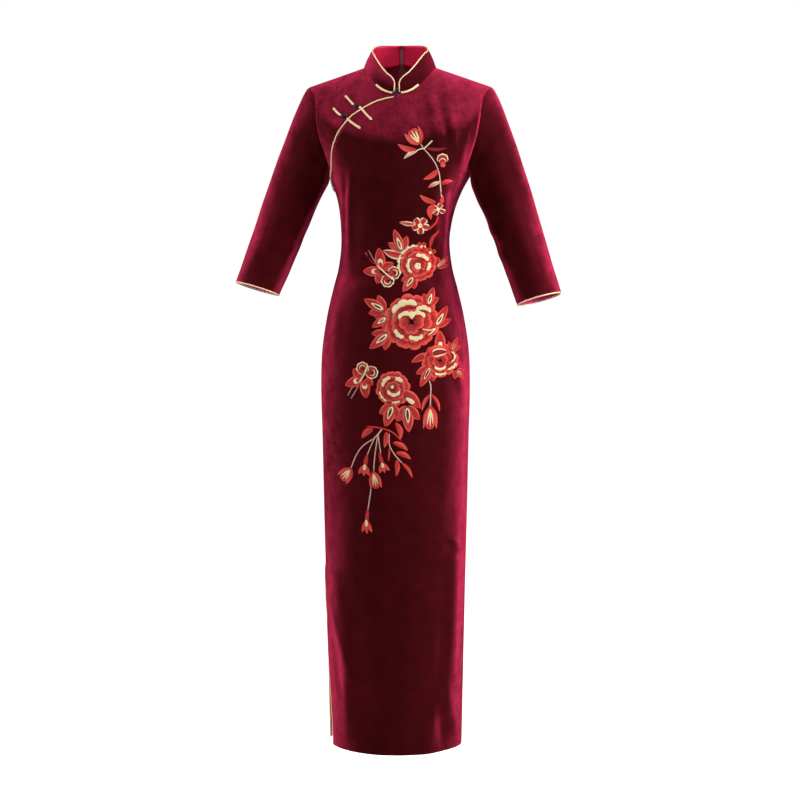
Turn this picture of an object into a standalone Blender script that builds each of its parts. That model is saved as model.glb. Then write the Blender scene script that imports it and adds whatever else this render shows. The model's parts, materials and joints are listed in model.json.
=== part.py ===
"""Long velvet cheongsam: stand collar, curved piped placket, three frog fastenings,
three-quarter sleeves, centre-back zip and one side slit.

The dress is hollow, in the form that it keeps when worn. +Z is up, the front faces -Y and +X is
the wearer's left. The origin lies between the upper ends of the two shoulder seams. Sizes are in
metres and angles in radians.
"""

import math

import bmesh
import bpy
from mathutils import Matrix, Vector

# ---------------------------------------------------------------- driving dimensions
DRESS_LENGTH = 1.350            # upper end of the shoulder seam to the hem
NECK_HALF_WIDTH = 0.071
NECK_FRONT_DEPTH = 0.076        # in plan, from the shoulder seams to the front of the neck
NECK_BACK_DEPTH = 0.047
SHOULDER_TIP = 0.178            # half the width between the upper ends of the sleeves
SHOULDER_SLOPE = 0.344
YOKE_LEVEL = -0.150             # above this the body rounds over to the shoulder seams
ARMPIT_LEVEL = -0.210
PLACKET_END_LEVEL = -0.240      # where the placket reaches the side seam
SLIT_LEVEL = -1.040             # top of the slit in the wearer's right side seam
SLIT_SWING = math.radians(25)   # how far the front edge of the slit hangs open at the hem
HIP_SWAY = 0.009                # the hips and skirt hang this far towards the wearer's right

# Level, half width, front depth and back depth of the body's rounded sections
BODY_SECTIONS = (
    (0.060, 0.216, 0.088, 0.118),
    (0.000, 0.212, 0.088, 0.118),
    (-0.040, 0.203, 0.0895, 0.115),
    (-0.075, 0.193, 0.0975, 0.112),
    (-0.105, 0.1855, 0.1055, 0.110),
    (-0.135, 0.175, 0.1125, 0.108),
    (-0.162, 0.1605, 0.117, 0.106),
    (-0.188, 0.148, 0.1205, 0.105),
    (-0.210, 0.140, 0.122, 0.104),
    (-0.235, 0.1275, 0.120, 0.101),
    (-0.265, 0.117, 0.114, 0.095),
    (-0.300, 0.110, 0.1065, 0.089),
    (-0.340, 0.107, 0.101, 0.086),
    (-0.390, 0.1125, 0.105, 0.094),
    (-0.435, 0.124, 0.112, 0.104),
    (-0.485, 0.1355, 0.118, 0.115),
    (-0.555, 0.146, 0.123, 0.125),
    (-0.630, 0.1485, 0.125, 0.128),
    (-0.720, 0.1465, 0.125, 0.123),
    (-0.880, 0.1435, 0.123, 0.115),
    (-1.040, 0.140, 0.121, 0.111),
    (-1.350, 0.1345, 0.118, 0.108),
)
# Level, half width of the front and half width of the back along the armhole seam
ARMHOLE_SEAM = (
    (-0.2100, 0.1400, 0.1400),
    (-0.2000, 0.1375, 0.1375),
    (-0.1880, 0.1370, 0.1380),
    (-0.1620, 0.1450, 0.1465),
    (-0.1350, 0.1535, 0.1560),
    (-0.1050, 0.1590, 0.1620),
    (-0.0750, 0.1620, 0.1655),
    (-0.0550, 0.1660, 0.1690),
    (-0.0368, 0.1780, 0.1780),
)
# Placket from the front of the neck: angle from the wearer's right side seam, level
PLACKET = (
    (90.0, -0.0570),
    (78.0, -0.0670),
    (64.5, -0.0905),
    (55.0, -0.1150),
    (47.5, -0.1370),
    (38.0, -0.1640),
    (27.0, -0.1990),
    (12.0, -0.2270),
    (0.0, -0.2400),
)
# Largest folds: side (front -1, back 1), upper end x and z, lower end x and z, half width, height
FOLDS = (
    (-1, -0.128, -1.000, -0.092, -1.190, 0.016, 0.0040),
    (-1, 0.112, -0.960, 0.098, -1.270, 0.014, 0.0035),
    (-1, 0.080, -1.240, 0.060, -1.345, 0.014, 0.0025),
    (-1, -0.090, -0.250, -0.096, -0.380, 0.014, 0.0030),
    (-1, 0.076, -0.240, 0.092, -0.400, 0.014, 0.0030),
    (1, 0.100, -0.960, 0.086, -1.300, 0.016, 0.0040),
    (1, -0.095, -0.900, -0.080, -1.280, 0.016, 0.0040),
    (1, -0.070, -0.290, -0.062, -0.400, 0.016, 0.0030),
    (1, 0.070, -0.290, 0.062, -0.400, 0.016, 0.0030),
)
SKIRT_LEVELS = (-1.350, -1.275, -1.200, -1.130, -1.075, -1.040, -0.940, -0.720,
                -0.620, -0.540, -0.470, -0.410, -0.360, -0.310, -0.270, -0.240)

CLOTH = 0.0016                  # velvet and its lining together
COLLAR_CLOTH = 0.0012
LINING_CLOTH = 0.0010
SEAM = 0.0003                   # gap between neighbouring pieces
COLLAR_SIDE_TOP = 0.031
COLLAR_FRONT_TOP = -0.022
COLLAR_BACK_TOP = 0.045
COLLAR_TOP_HALF_WIDTH = 0.056
COLLAR_TOP_FRONT = 0.070
COLLAR_TOP_BACK = 0.041
COLLAR_FRONT_GAP = 0.007        # from the centre line to each rounded front of the collar
COLLAR_CORNER = 0.014           # radius of the rounded fronts
COLLAR_STAND = 0.036

CUFF_OUT = 0.2763               # cuff centre, from the centre line
CUFF_LEVEL = -0.4375
CUFF_FORWARD = 0.055
CUFF_HALF_WIDTH = 0.0447
CUFF_HALF_DEPTH = 0.048
CUFF_SLANT = math.radians(16.5)
CUFF_SWING = math.radians(10)
RIGHT_SLEEVE_LIFT = 0.0085      # the wearer's right sleeve rides higher, the left one lower
SLEEVE_HEAD = 0.009             # fullness of the sleeve head

PIPING = 0.0016                 # radius of the corded piping
STRAP = 0.0021                  # radius of a frog's strap
KNOT = 0.0045
LOOP_RING = 0.0052
LOOP_CORD = 0.0012

ZIP_END_LEVEL = -0.520
ZIP_TAPE_EDGE = 0.0012
ZIP_TAPE_OUTER = 0.0095
ZIP_TAPE_OUTER_COLLAR = 0.0036
ZIP_TAPE_THICKNESS = 0.0008
ZIP_CHAIN = 0.0009
PULL_TILT = math.radians(9)     # the pull rests on the sloping back of the collar
HINGE_OFF_COLLAR = 0.0019       # pull's hinge axis, from the collar's outer face

ARM_ROWS = 8                    # seam samples from the armpit to the shoulder tip
NECK_COLUMNS = 9                # seam samples from the centre front to the shoulder seam
SHOULDER_COLUMNS = 4
BACK_NECK_COLUMNS = 5


# ---------------------------------------------------------------- reading smooth tables
def smooth(rows, column, level):
    """Reads a column of rows sorted from high to low level, on a smooth curve through them."""
    level = min(max(level, rows[-1][0]), rows[0][0])
    last = len(rows) - 1
    i = next(k for k in range(last) if level >= rows[k + 1][0])

    def slope(k):
        low, high = max(k - 1, 0), min(k + 1, last)
        return (rows[high][column] - rows[low][column]) / (rows[high][0] - rows[low][0])

    span = rows[i + 1][0] - rows[i][0]
    t = (level - rows[i][0]) / span
    return ((2 * t**3 - 3 * t**2 + 1) * rows[i][column]
            + (t**3 - 2 * t**2 + t) * span * slope(i)
            + (3 * t**2 - 2 * t**3) * rows[i + 1][column]
            + (t**3 - t**2) * span * slope(i + 1))


def along(points, t):
    """The point at t, from 0 to 1, on a smooth curve through points."""
    last = len(points) - 1
    place = min(max(t, 0.0), 1.0) * last
    i = min(int(place), last - 1)
    f = place - i
    before, start, end, after = (points[min(max(k, 0), last)] for k in range(i - 1, i + 3))
    return tuple(
        0.5 * (2 * b + (c - a) * f + (2 * a - 5 * b + 4 * c - d) * f**2
               + (3 * b - a - 3 * c + d) * f**3)
        for a, b, c, d in zip(before, start, end, after)
    )


def ease(t):
    t = min(max(t, 0.0), 1.0)
    return t * t * (3 - 2 * t)


# ---------------------------------------------------------------- the body's surface
def sway(level):
    return -HIP_SWAY * ease((-0.170 - level) / 0.180)


def shoulder_level(x):
    """Level of the shoulder seam at x, carried on in a straight line over the neck."""
    return -(abs(x) - NECK_HALF_WIDTH) * SHOULDER_SLOPE


def round_over(x, level):
    """1 below the yoke level, falling to 0 at the shoulder seam, in a quarter of an ellipse."""
    rise = (level - YOKE_LEVEL) / (shoulder_level(x) - YOKE_LEVEL)
    return math.sqrt(max(0.0, 1 - max(0.0, rise) ** 2))


def body_depth(side, level):
    return smooth(BODY_SECTIONS, 2 if side < 0 else 3, level)


def fold_height(side, x, level):
    total = 0.0
    for fold_side, x0, z0, x1, z1, half, height in FOLDS:
        if fold_side != side:
            continue
        run, rise = x1 - x0, z1 - z0
        t = ((x - x0) * run + (level - z0) * rise) / (run * run + rise * rise)
        t = min(max(t, 0.0), 1.0)
        away = math.hypot(x - x0 - t * run, level - z0 - t * rise)
        total += height * math.exp(-((away / half) ** 2))
    return total


def body_normal(side, x, y, z):
    """Outward direction of the unfolded body where it passes through x, y, z."""

    def inside(px, py, pz):
        half = smooth(BODY_SECTIONS, 1, pz)
        offset = px - sway(pz)
        rise = max(0.0, (pz - YOKE_LEVEL) / (shoulder_level(offset) - YOKE_LEVEL))
        return (py / body_depth(side, pz)) ** 2 - (1 - (offset / half) ** 2) * (1 - rise**2)

    step = 1e-5
    return Vector((
        inside(x + step, y, z) - inside(x - step, y, z),
        inside(x, y + step, z) - inside(x, y - step, z),
        inside(x, y, z + step) - inside(x, y, z - step),
    )).normalized()


def body(side, angle, level, out=0.0):
    """A point of the body cloth. side is -1 for the front, 1 for the back; angle runs from the
    wearer's left side seam, 0, to the right one, pi; out moves it off the outer face."""
    x = smooth(BODY_SECTIONS, 1, level) * math.cos(angle)
    y = side * body_depth(side, level) * math.sin(angle) * round_over(x, level)
    point = Vector((x + sway(level), y, level))
    normal = body_normal(side, *point)
    near_seam = ease(abs(y) / 0.040)
    return point + normal * (out + near_seam * fold_height(side, point.x, level))


def angle_at(x, level):
    """Angle of the body at distance x from the centre line of that level."""
    ratio = x / smooth(BODY_SECTIONS, 1, level)
    return math.acos(min(1.0, max(-1.0, ratio)))


def front_at(x, level, out=0.0):
    return body(-1, angle_at(x - sway(level), level), level, out)


# ---------------------------------------------------------------- seams, as (angle, level)
def armhole(side, t, hand=1):
    """Armhole seam from the armpit, t = 0, to the shoulder tip, t = 1. hand is 1 on the wearer's
    left and -1 on the right."""
    top = shoulder_level(SHOULDER_TIP)
    level = (ARMPIT_LEVEL + top) / 2 - (top - ARMPIT_LEVEL) / 2 * math.cos(math.pi * t)
    x = smooth(ARMHOLE_SEAM[::-1], 1 if side < 0 else 2, level)
    x = min(x, smooth(BODY_SECTIONS, 1, level))
    return angle_at(hand * x, level), level


def shoulder(t, hand=1):
    """Shoulder seam from the neck, t = 0, to the tip, t = 1."""
    x = NECK_HALF_WIDTH + (SHOULDER_TIP - NECK_HALF_WIDTH) * t
    return angle_at(hand * x, shoulder_level(x)), shoulder_level(x)


def neck(side, turn):
    """Neck seam: in plan an ellipse, turn is pi / 2 at the centre and 0 at the left shoulder."""
    x = NECK_HALF_WIDTH * math.cos(turn)
    depth = (NECK_FRONT_DEPTH if side < 0 else NECK_BACK_DEPTH) * math.sin(turn)
    low, high = YOKE_LEVEL, shoulder_level(x)
    for _ in range(40):
        level = (low + high) / 2
        reach = body_depth(side, level) * math.sin(angle_at(x, level)) * round_over(x, level)
        if reach > depth:
            low = level
        else:
            high = level
    return angle_at(x, high), high


def placket(t):
    """Placket seam from the side seam, t = 0, to the neck, t = 1."""
    degrees, level = along(PLACKET, 1 - t)
    return math.pi - math.radians(max(degrees, 0.0)), level


def side_and_armhole(side, row, hand=1):
    """Outer edge of the upper panels: one row of side seam, then the armhole."""
    if row == 0:
        return (0.0 if hand > 0 else math.pi), PLACKET_END_LEVEL
    return armhole(side, (row - 1) / ARM_ROWS, hand)


def rise_share(row):
    """Share of the way up from the placket's end to the shoulder that a row of the armhole is."""
    top = shoulder_level(SHOULDER_TIP)
    return (side_and_armhole(-1, row)[1] - PLACKET_END_LEVEL) / (top - PLACKET_END_LEVEL)


def patch(bottom, top, left, right, shares):
    """Rows of (angle, level) spanning four seams that are lists of such pairs."""
    rows = []
    for r, v in enumerate(shares):
        row = []
        for c in range(len(bottom)):
            u = c / (len(bottom) - 1)
            row.append(tuple(
                (1 - v) * bottom[c][k] + v * top[c][k] + (1 - u) * left[r][k] + u * right[r][k]
                - (1 - u) * (1 - v) * bottom[0][k] - u * (1 - v) * bottom[-1][k]
                - (1 - u) * v * top[0][k] - u * v * top[-1][k]
                for k in (0, 1)
            ))
        rows.append(row)
    return rows


# ---------------------------------------------------------------- making objects
def make_material(name, colour, roughness, metallic=0.0, sheen=0.0):
    material = bpy.data.materials.new(name)
    material.use_nodes = True
    shader = material.node_tree.nodes["Principled BSDF"]
    shader.inputs["Base Color"].default_value = (*colour, 1.0)
    shader.inputs["Roughness"].default_value = roughness
    shader.inputs["Metallic"].default_value = metallic
    shader.inputs["Sheen Weight"].default_value = sheen
    material.diffuse_color = (*colour, 1.0)
    return material


def wall(name, outer, inner, material, ring=False):
    """A closed wall between an outer and an inner grid of points. A row may have one point less
    than the row before it, lost at its start. With ring, each row runs round a tube."""
    mesh = bmesh.new()
    grids = [[[mesh.verts.new(point) for point in row] for row in grid]
             for grid in (outer, inner)]
    for grid in grids:
        for row, after in zip(grid, grid[1:]):
            lost = len(row) - len(after)
            if lost:
                mesh.faces.new((row[0], row[1], after[0]))
            for c in range(len(after) if ring else len(after) - 1):
                n = (c + 1) % len(after)
                mesh.faces.new((row[c + lost], row[n + lost], after[n], after[c]))
    out, inn = grids
    for r in (0, -1):
        for c in range(len(out[r]) if ring else len(out[r]) - 1):
            n = (c + 1) % len(out[r])
            mesh.faces.new((out[r][c], out[r][n], inn[r][n], inn[r][c]))
    if not ring:
        for c in (0, -1):
            for r in range(len(out) - 1):
                mesh.faces.new((out[r][c], out[r + 1][c], inn[r + 1][c], inn[r][c]))
    bmesh.ops.recalc_face_normals(mesh, faces=mesh.faces)
    data = bpy.data.meshes.new(name)
    mesh.to_mesh(data)
    mesh.free()
    data.shade_smooth()
    data.set_sharp_from_angle(angle=math.radians(50))
    return place(name, data, material)


def place(name, data, material):
    data.materials.append(material)
    thing = bpy.data.objects.new(name, data)
    DRESS.objects.link(thing)
    return thing


def cord(name, points, radius, material, ring=False, facets=1):
    """A round cord along points, with flat ends unless it is a ring."""
    data = bpy.data.curves.new(name, "CURVE")
    data.dimensions = "3D"
    data.bevel_depth = radius
    data.bevel_resolution = facets
    data.use_fill_caps = not ring
    spline = data.splines.new("POLY")
    spline.points.add(len(points) - 1)
    for point, control in zip(points, spline.points):
        control.co = (*point, 1.0)
    spline.use_cyclic_u = ring
    return place(name, data, material)


def panel(name, side, grid, material, shift=(0.0, 0.0, 0.0)):
    """A body panel from rows of (angle, level). It stands half a seam clear of the other side."""
    move = Vector((0.0, side * SEAM / 2, 0.0)) + Vector(shift)
    outer = [[body(side, *pair) + move for pair in row] for row in grid]
    inner = [[body(side, *pair, out=-CLOTH) + move for pair in row] for row in grid]
    return wall(name, outer, inner, material)


# ---------------------------------------------------------------- body panels
def slit_front_angle(level):
    """The front edge of the slit swings forward from the side seam towards the hem."""
    t = max(0.0, (SLIT_LEVEL - level) / (DRESS_LENGTH + SLIT_LEVEL))
    return math.pi - SLIT_SWING * math.sin(math.pi / 2 * t**1.15)


def slit_back_angle(level):
    t = max(0.0, (SLIT_LEVEL - level) / (DRESS_LENGTH + SLIT_LEVEL))
    return math.pi - math.radians(3) * t


def spread(start, end, count):
    return [start + (end - start) * i / count for i in range(count + 1)]


def build_front_panel(velvet):
    rows = ARM_ROWS + 1
    half_pi = math.pi / 2
    left_columns = NECK_COLUMNS + SHOULDER_COLUMNS
    grid = []
    for level in SKIRT_LEVELS:
        angles = spread(slit_front_angle(level), half_pi, rows)[:-1]
        angles += spread(half_pi, 0.0, left_columns)
        grid.append([(angle, level) for angle in angles])
    shares = [rise_share(r) for r in range(rows + 1)]
    top = [neck(-1, turn) for turn in spread(half_pi, 0.0, NECK_COLUMNS)]
    top += [shoulder(t) for t in spread(0.0, 1.0, SHOULDER_COLUMNS)[1:]]
    centre = [(half_pi, PLACKET_END_LEVEL + (top[0][1] - PLACKET_END_LEVEL) * v) for v in shares]
    right = [side_and_armhole(-1, r) for r in range(rows + 1)]
    left_half = patch(grid[-1][rows:], top, centre, right, shares)
    # The wearer's right half narrows by one column a row, from the side seam to the neck.
    for r in range(1, rows + 1):
        edge, middle = placket(r / rows), centre[r]
        count = rows - r
        under_placket = [tuple(edge[k] + (middle[k] - edge[k]) * i / count for k in (0, 1))
                         for i in range(count)]
        grid.append(under_placket + left_half[r])
    panel("front_panel", -1, grid, velvet)


def placket_station(station, rows):
    """A corner of the placket's facets, or a point part of the way along one."""
    whole = min(int(station), rows - 1)
    start, end = placket(whole / rows), placket((whole + 1) / rows)
    return tuple(a + (b - a) * (station - whole) for a, b in zip(start, end))


def build_front_yoke(velvet):
    """The under-front at the wearer's right shoulder. Its rows run up from the placket, first
    to the armhole and then to the shoulder seam, and the last one follows the neck."""
    rows = ARM_ROWS + 1
    stations = (0.0, 1.0, 2.0, 3.0, 4.0, 5.0, 5.5, 6.0, 6.5, 7.0, 8.0, 8.5, 9.0)
    bottom = [placket_station(station, rows) for station in stations]
    top = [armhole(-1, t, -1) for t in spread(0.0, 1.0, ARM_ROWS)]
    top += [shoulder(t, -1) for t in spread(1.0, 0.0, SHOULDER_COLUMNS)[1:]]
    shares = spread(0.0, 1.0, rows)
    neck_edge = [neck(-1, math.pi / 2 * (1 + v)) for v in shares]
    grid = []
    for i, (low, high) in enumerate(zip(bottom, top)):
        bend = max(0.0, (i - ARM_ROWS) / SHOULDER_COLUMNS) ** 1.5
        row = []
        for v, at_neck in zip(shares, neck_edge):
            chord = [a + (b - a) * v for a, b in zip(bottom[-1], top[-1])]
            row.append(tuple(low[k] + (high[k] - low[k]) * v + bend * (at_neck[k] - chord[k])
                             for k in (0, 1)))
        grid.append(row)
    panel("front_yoke_right", -1, grid, velvet, shift=(-0.7 * SEAM, 0.0, 0.7 * SEAM))


def build_back_panels(velvet):
    half_pi = math.pi / 2
    zip_gap = 0.0036            # angle of half the gap over the zip
    rows = ARM_ROWS + 1
    columns = BACK_NECK_COLUMNS + SHOULDER_COLUMNS
    shares = [rise_share(r) for r in range(rows + 1)]
    for name, hand in (("left", 1), ("right", -1)):
        centre = half_pi - hand * zip_gap
        skirt = []
        for level in SKIRT_LEVELS:
            edge = 0.0 if hand > 0 else slit_back_angle(level)
            skirt.append([(angle, level) for angle in spread(centre, edge, columns)])
        turns = spread(half_pi - zip_gap * 2, 0.0, BACK_NECK_COLUMNS)
        top = [neck(1, turn if hand > 0 else math.pi - turn) for turn in turns]
        top += [shoulder(t, hand) for t in spread(0.0, 1.0, SHOULDER_COLUMNS)[1:]]
        left = [(centre + (top[0][0] - centre) * v,
                 PLACKET_END_LEVEL + (top[0][1] - PLACKET_END_LEVEL) * v) for v in shares]
        right = [side_and_armhole(1, r, hand) for r in range(rows + 1)]
        grid = skirt + patch(skirt[-1], top, left, right, shares)[1:]
        panel(f"back_panel_{name}", 1, grid, velvet)


# ---------------------------------------------------------------- sleeves
def cuff_frame(hand):
    """Centre of the cuff, and its outward, forward and downward directions."""
    lift = RIGHT_SLEEVE_LIFT * -hand
    centre = Vector((hand * CUFF_OUT, -CUFF_FORWARD, CUFF_LEVEL + lift))
    outward = Vector((hand * math.cos(CUFF_SLANT), 0.0, math.sin(CUFF_SLANT)))
    hang = Vector((hand * math.sin(CUFF_SLANT), 0.0, -math.cos(CUFF_SLANT)))
    ahead = Vector((0.0, -1.0, 0.0))
    down = hang * math.cos(CUFF_SWING) + ahead * math.sin(CUFF_SWING)
    forward = ahead * math.cos(CUFF_SWING) - hang * math.sin(CUFF_SWING)
    return centre, outward, forward, down


def sleeve(hand, turn, s):
    """Sleeve surface: turn is 0 at the armpit, pi at the shoulder and passes the front first; s
    runs from the armhole, 0, to the cuff, 1."""
    turn %= 2 * math.pi
    side = -1 if turn <= math.pi else 1
    start = body(side, *armhole(side, turn / math.pi if side < 0 else 2 - turn / math.pi, hand))
    start.x += hand * 2 * SEAM
    centre, outward, forward, _ = cuff_frame(hand)
    end = (centre - outward * CUFF_HALF_WIDTH * math.cos(turn)
           + forward * CUFF_HALF_DEPTH * math.sin(turn))
    point = start.lerp(end, s)
    point.y += CUFF_FORWARD * (s - s**1.6)
    head = SLEEVE_HEAD * max(0.0, -math.cos(turn)) * math.sin(math.pi * s**0.45)
    return point + Vector((hand * 0.95, 0.0, 0.30)) * head


def sleeve_normal(hand, turn, s):
    step = 1e-3
    low, high = max(s - step, 0.0), min(s + step, 1.0)
    across = sleeve(hand, turn + step, s) - sleeve(hand, turn - step, s)
    down = sleeve(hand, turn, high) - sleeve(hand, turn, low)
    return (down.cross(across) * hand).normalized()


def build_sleeves(velvet):
    stations = (0.0, 0.03, 0.08, 0.16, 0.27, 0.40, 0.55, 0.70, 0.85, 1.0)
    turns = [math.pi * i / ARM_ROWS for i in range(2 * ARM_ROWS)]
    for name, hand in (("left", 1), ("right", -1)):
        outer, inner = [], []
        for s in stations:
            ring = [sleeve(hand, turn, s) for turn in turns]
            normals = [sleeve_normal(hand, turn, s) for turn in turns]
            if s == 0.0:
                # The raw edge follows the body's edge round the top of the armhole.
                for i, turn in enumerate(turns):
                    side = -1 if turn <= math.pi else 1
                    mitre = body_normal(side, ring[i].x - hand * 2 * SEAM, ring[i].y, ring[i].z)
                    share = ease(0.5 - 0.5 * math.cos(turn))
                    normals[i] = normals[i].lerp(mitre, share).normalized()
            outer.append(ring)
            inner.append([point - normal * CLOTH for point, normal in zip(ring, normals)])
        wall(f"sleeve_{name}", outer, inner, velvet, ring=True)


# ---------------------------------------------------------------- collar
def collar(turn, height):
    """Outer face of the collar. turn is pi / 2 at the centre front, 0 at the wearer's left and
    -pi / 2 at the centre back; height runs from the neck seam, 0, to the top edge, 1."""
    side = -1 if math.sin(turn) >= 0 else 1
    lean = abs(math.sin(turn))
    base = body(side, *neck(side, math.acos(math.cos(turn))))
    base.z += 2 * SEAM
    x = COLLAR_TOP_HALF_WIDTH * math.cos(turn)
    if side < 0:
        top = Vector((x, -COLLAR_TOP_FRONT * lean, COLLAR_SIDE_TOP
                      + (COLLAR_FRONT_TOP - COLLAR_SIDE_TOP) * lean**2.5))
    else:
        rise = 1 - (1 - lean) ** 2.5
        top = Vector((x, COLLAR_TOP_BACK * lean, COLLAR_SIDE_TOP
                      + (COLLAR_BACK_TOP - COLLAR_SIDE_TOP) * rise))
    return base.lerp(top, height)


def collar_normal(turn, height):
    step = 1e-3
    across = collar(turn + step, height) - collar(turn - step, height)
    up = collar(turn, min(height + step, 1.0)) - collar(turn, max(height - step, 0.0))
    return across.cross(up).normalized() * -1


def collar_layer(turn, height, depth):
    return collar(turn, height) - collar_normal(turn, height) * depth


def collar_height(distance):
    """Share of the stand's height at a distance from the rounded front."""
    inset = max(0.0, COLLAR_CORNER - distance)
    return 1 - (COLLAR_CORNER - math.sqrt(COLLAR_CORNER**2 - inset**2)) / COLLAR_STAND


def collar_turns(front_gap, back_gap):
    """Turns from the front edge to the back edge of one half, closer round the corner."""
    front = math.pi / 2 - front_gap / NECK_HALF_WIDTH
    near = [front - d / NECK_HALF_WIDTH for d in (0.0, 0.0008, 0.0028, 0.0060, 0.0100)]
    step = math.pi / 2 / NECK_COLUMNS
    rest = [math.pi / 2 - step * i for i in range(3, NECK_COLUMNS + 1)]
    back = [-math.pi / 2 * i / BACK_NECK_COLUMNS for i in range(1, BACK_NECK_COLUMNS)]
    return near + rest + back + [-math.pi / 2 + back_gap / NECK_HALF_WIDTH]


def build_collar_layer(name, hand, front_gap, back_gap, near, far, material):
    turns = collar_turns(front_gap, back_gap)
    outer, inner = [], []
    for share in (0.0, 0.35, 0.7, 1.0):
        heights = [share * collar_height((turns[0] - t) * NECK_HALF_WIDTH) for t in turns]
        pairs = [(t if hand > 0 else math.pi - t, h) for t, h in zip(turns, heights)]
        outer.append([collar_layer(t, h, near) for t, h in pairs])
        inner.append([collar_layer(t, h, far) for t, h in pairs])
    wall(name, outer, inner, material)


def build_collar(velvet, lining, piping):
    lining_start = COLLAR_CLOTH + SEAM
    middle = (lining_start + LINING_CLOTH) / 2
    for name, hand in (("left", 1), ("right", -1)):
        build_collar_layer(f"collar_{name}", hand, COLLAR_FRONT_GAP, 0.0009, 0.0,
                           COLLAR_CLOTH, velvet)
        build_collar_layer(f"collar_lining_{name}", hand, COLLAR_FRONT_GAP, 0.0045,
                           lining_start, lining_start + LINING_CLOTH, lining)
        turns = collar_turns(COLLAR_FRONT_GAP, 0.0045)
        points = []
        clear = PIPING + SEAM
        for height in (0.20, 0.40):
            edge = collar_layer(hand_turn(turns[0], hand), height, middle)
            ahead = edge - collar_layer(hand_turn(turns[1], hand), height, middle)
            points.append(edge + ahead.normalized() * clear)
        heights = [collar_height((turns[0] - t) * NECK_HALF_WIDTH) for t in turns]
        edges = [collar_layer(hand_turn(t, hand), h, middle) for t, h in zip(turns, heights)]
        for i, turn in enumerate(turns):
            run = edges[min(i + 1, len(edges) - 1)] - edges[max(i - 1, 0)]
            if i == 0:
                run = run.normalized() * 0.2 + (edges[0] - points[-1]).normalized()
            normal = collar_normal(hand_turn(turn, hand), heights[i])
            away = run.cross(normal) * -hand
            points.append(edges[i] + away.normalized() * clear)
        cord(f"collar_piping_{name}", points, PIPING, piping)


def hand_turn(turn, hand):
    return turn if hand > 0 else math.pi - turn


# ---------------------------------------------------------------- piping on the other edges
def build_placket_piping(piping):
    count = 2 * (ARM_ROWS + 1)
    points = [body(-1, *placket(0.97 * t), out=PIPING + 2 * SEAM) for t in spread(0.0, 1.0, count)]
    cord("placket_piping", points, PIPING, piping)


def build_cuff_piping(piping):
    for name, hand in (("left", 1), ("right", -1)):
        points = []
        down = cuff_frame(hand)[3]
        for i in range(2 * ARM_ROWS):
            turn = math.pi * i / ARM_ROWS
            middle = sleeve(hand, turn, 1.0) - sleeve_normal(hand, turn, 1.0) * CLOTH / 2
            points.append(middle + down * (PIPING + 2 * SEAM))
        cord(f"cuff_piping_{name}", points, PIPING, piping, ring=True)


def build_slit_piping(piping):
    """Piping along both edges of the slit. At its top the front one rolls on to the outer face."""
    hem = [level for level in SKIRT_LEVELS if level < -1.10]
    for name, side, edge, levels in (
        ("front", -1, slit_front_angle, hem + [-1.100, -1.075, -1.058, -1.042, -1.030]),
        ("back", 1, slit_back_angle, hem + [-1.095]),
    ):
        points = []
        for level in levels:
            middle = body(side, edge(level), level, out=-CLOTH / 2)
            outer = body(side, edge(level), level)
            beyond = (middle - body(side, edge(level) - 0.02, level, out=-CLOTH / 2)).normalized()
            roll = math.pi / 2 * ease((level + 1.100) / 0.055) if side < 0 else 0.0
            away = beyond * math.cos(roll) + (outer - middle).normalized() * math.sin(roll)
            points.append(middle + away * (CLOTH / 2 * math.sin(roll) + PIPING + 2 * SEAM))
        cord(f"slit_piping_{name}", points, PIPING, piping)


# ---------------------------------------------------------------- frog fastenings
def curve_through(points, count):
    return [along(points, t) for t in spread(0.0, 1.0, count)]


def build_frog(name, first, second, knot, loop, strap, ball):
    """One frog on the front: two straps given as (x, level, height off the cloth), a loop round
    the foot of a ball knot, and the knot."""
    for part, route in (("strap_a", first), ("strap_b", second)):
        points = [front_at(x, level, height) for x, level, height in curve_through(route, 7)]
        cord(f"frog_{name}_{part}", points, STRAP, strap, facets=2)
    centre = front_at(*knot)
    data = bpy.data.meshes.new(f"frog_{name}_knot")
    mesh = bmesh.new()
    bmesh.ops.create_uvsphere(mesh, u_segments=10, v_segments=6, radius=KNOT)
    bmesh.ops.translate(mesh, verts=mesh.verts, vec=centre)
    mesh.to_mesh(data)
    mesh.free()
    data.shade_smooth()
    place(f"frog_{name}_knot", data, ball)
    ring = []
    for i in range(10):
        turn = 2 * math.pi * i / 10
        ring.append(front_at(loop[0] + LOOP_RING * math.cos(turn),
                             loop[1] + LOOP_RING * math.sin(turn), loop[2]))
    cord(f"frog_{name}_loop", ring, LOOP_CORD, ball, ring=True)


def build_frogs(strap, ball):
    flat = STRAP + 2 * SEAM
    ring = LOOP_CORD + SEAM
    lift = flat + 2 * PIPING + 2 * SEAM
    build_frog(
        "upper",
        ((-0.0985, -0.0585, flat), (-0.0905, -0.0665, flat), (-0.0830, -0.0735, flat)),
        ((-0.0700, -0.0790, lift), (-0.0640, -0.0850, lift), (-0.0560, -0.0930, flat + 0.001),
         (-0.0470, -0.1010, flat)),
        (-0.0765, -0.0745, KNOT + 0.001), (-0.0765, -0.0760, ring), strap, ball)
    build_frog(
        "lower",
        ((-0.1230, -0.0800, flat), (-0.1150, -0.0880, flat), (-0.1070, -0.0935, flat)),
        ((-0.0930, -0.1005, lift), (-0.0870, -0.1060, lift - 0.001),
         (-0.0780, -0.1120, flat + 0.0005), (-0.0690, -0.1175, flat)),
        (-0.1005, -0.0950, KNOT + 0.001), (-0.1005, -0.0960, ring), strap, ball)


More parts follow.
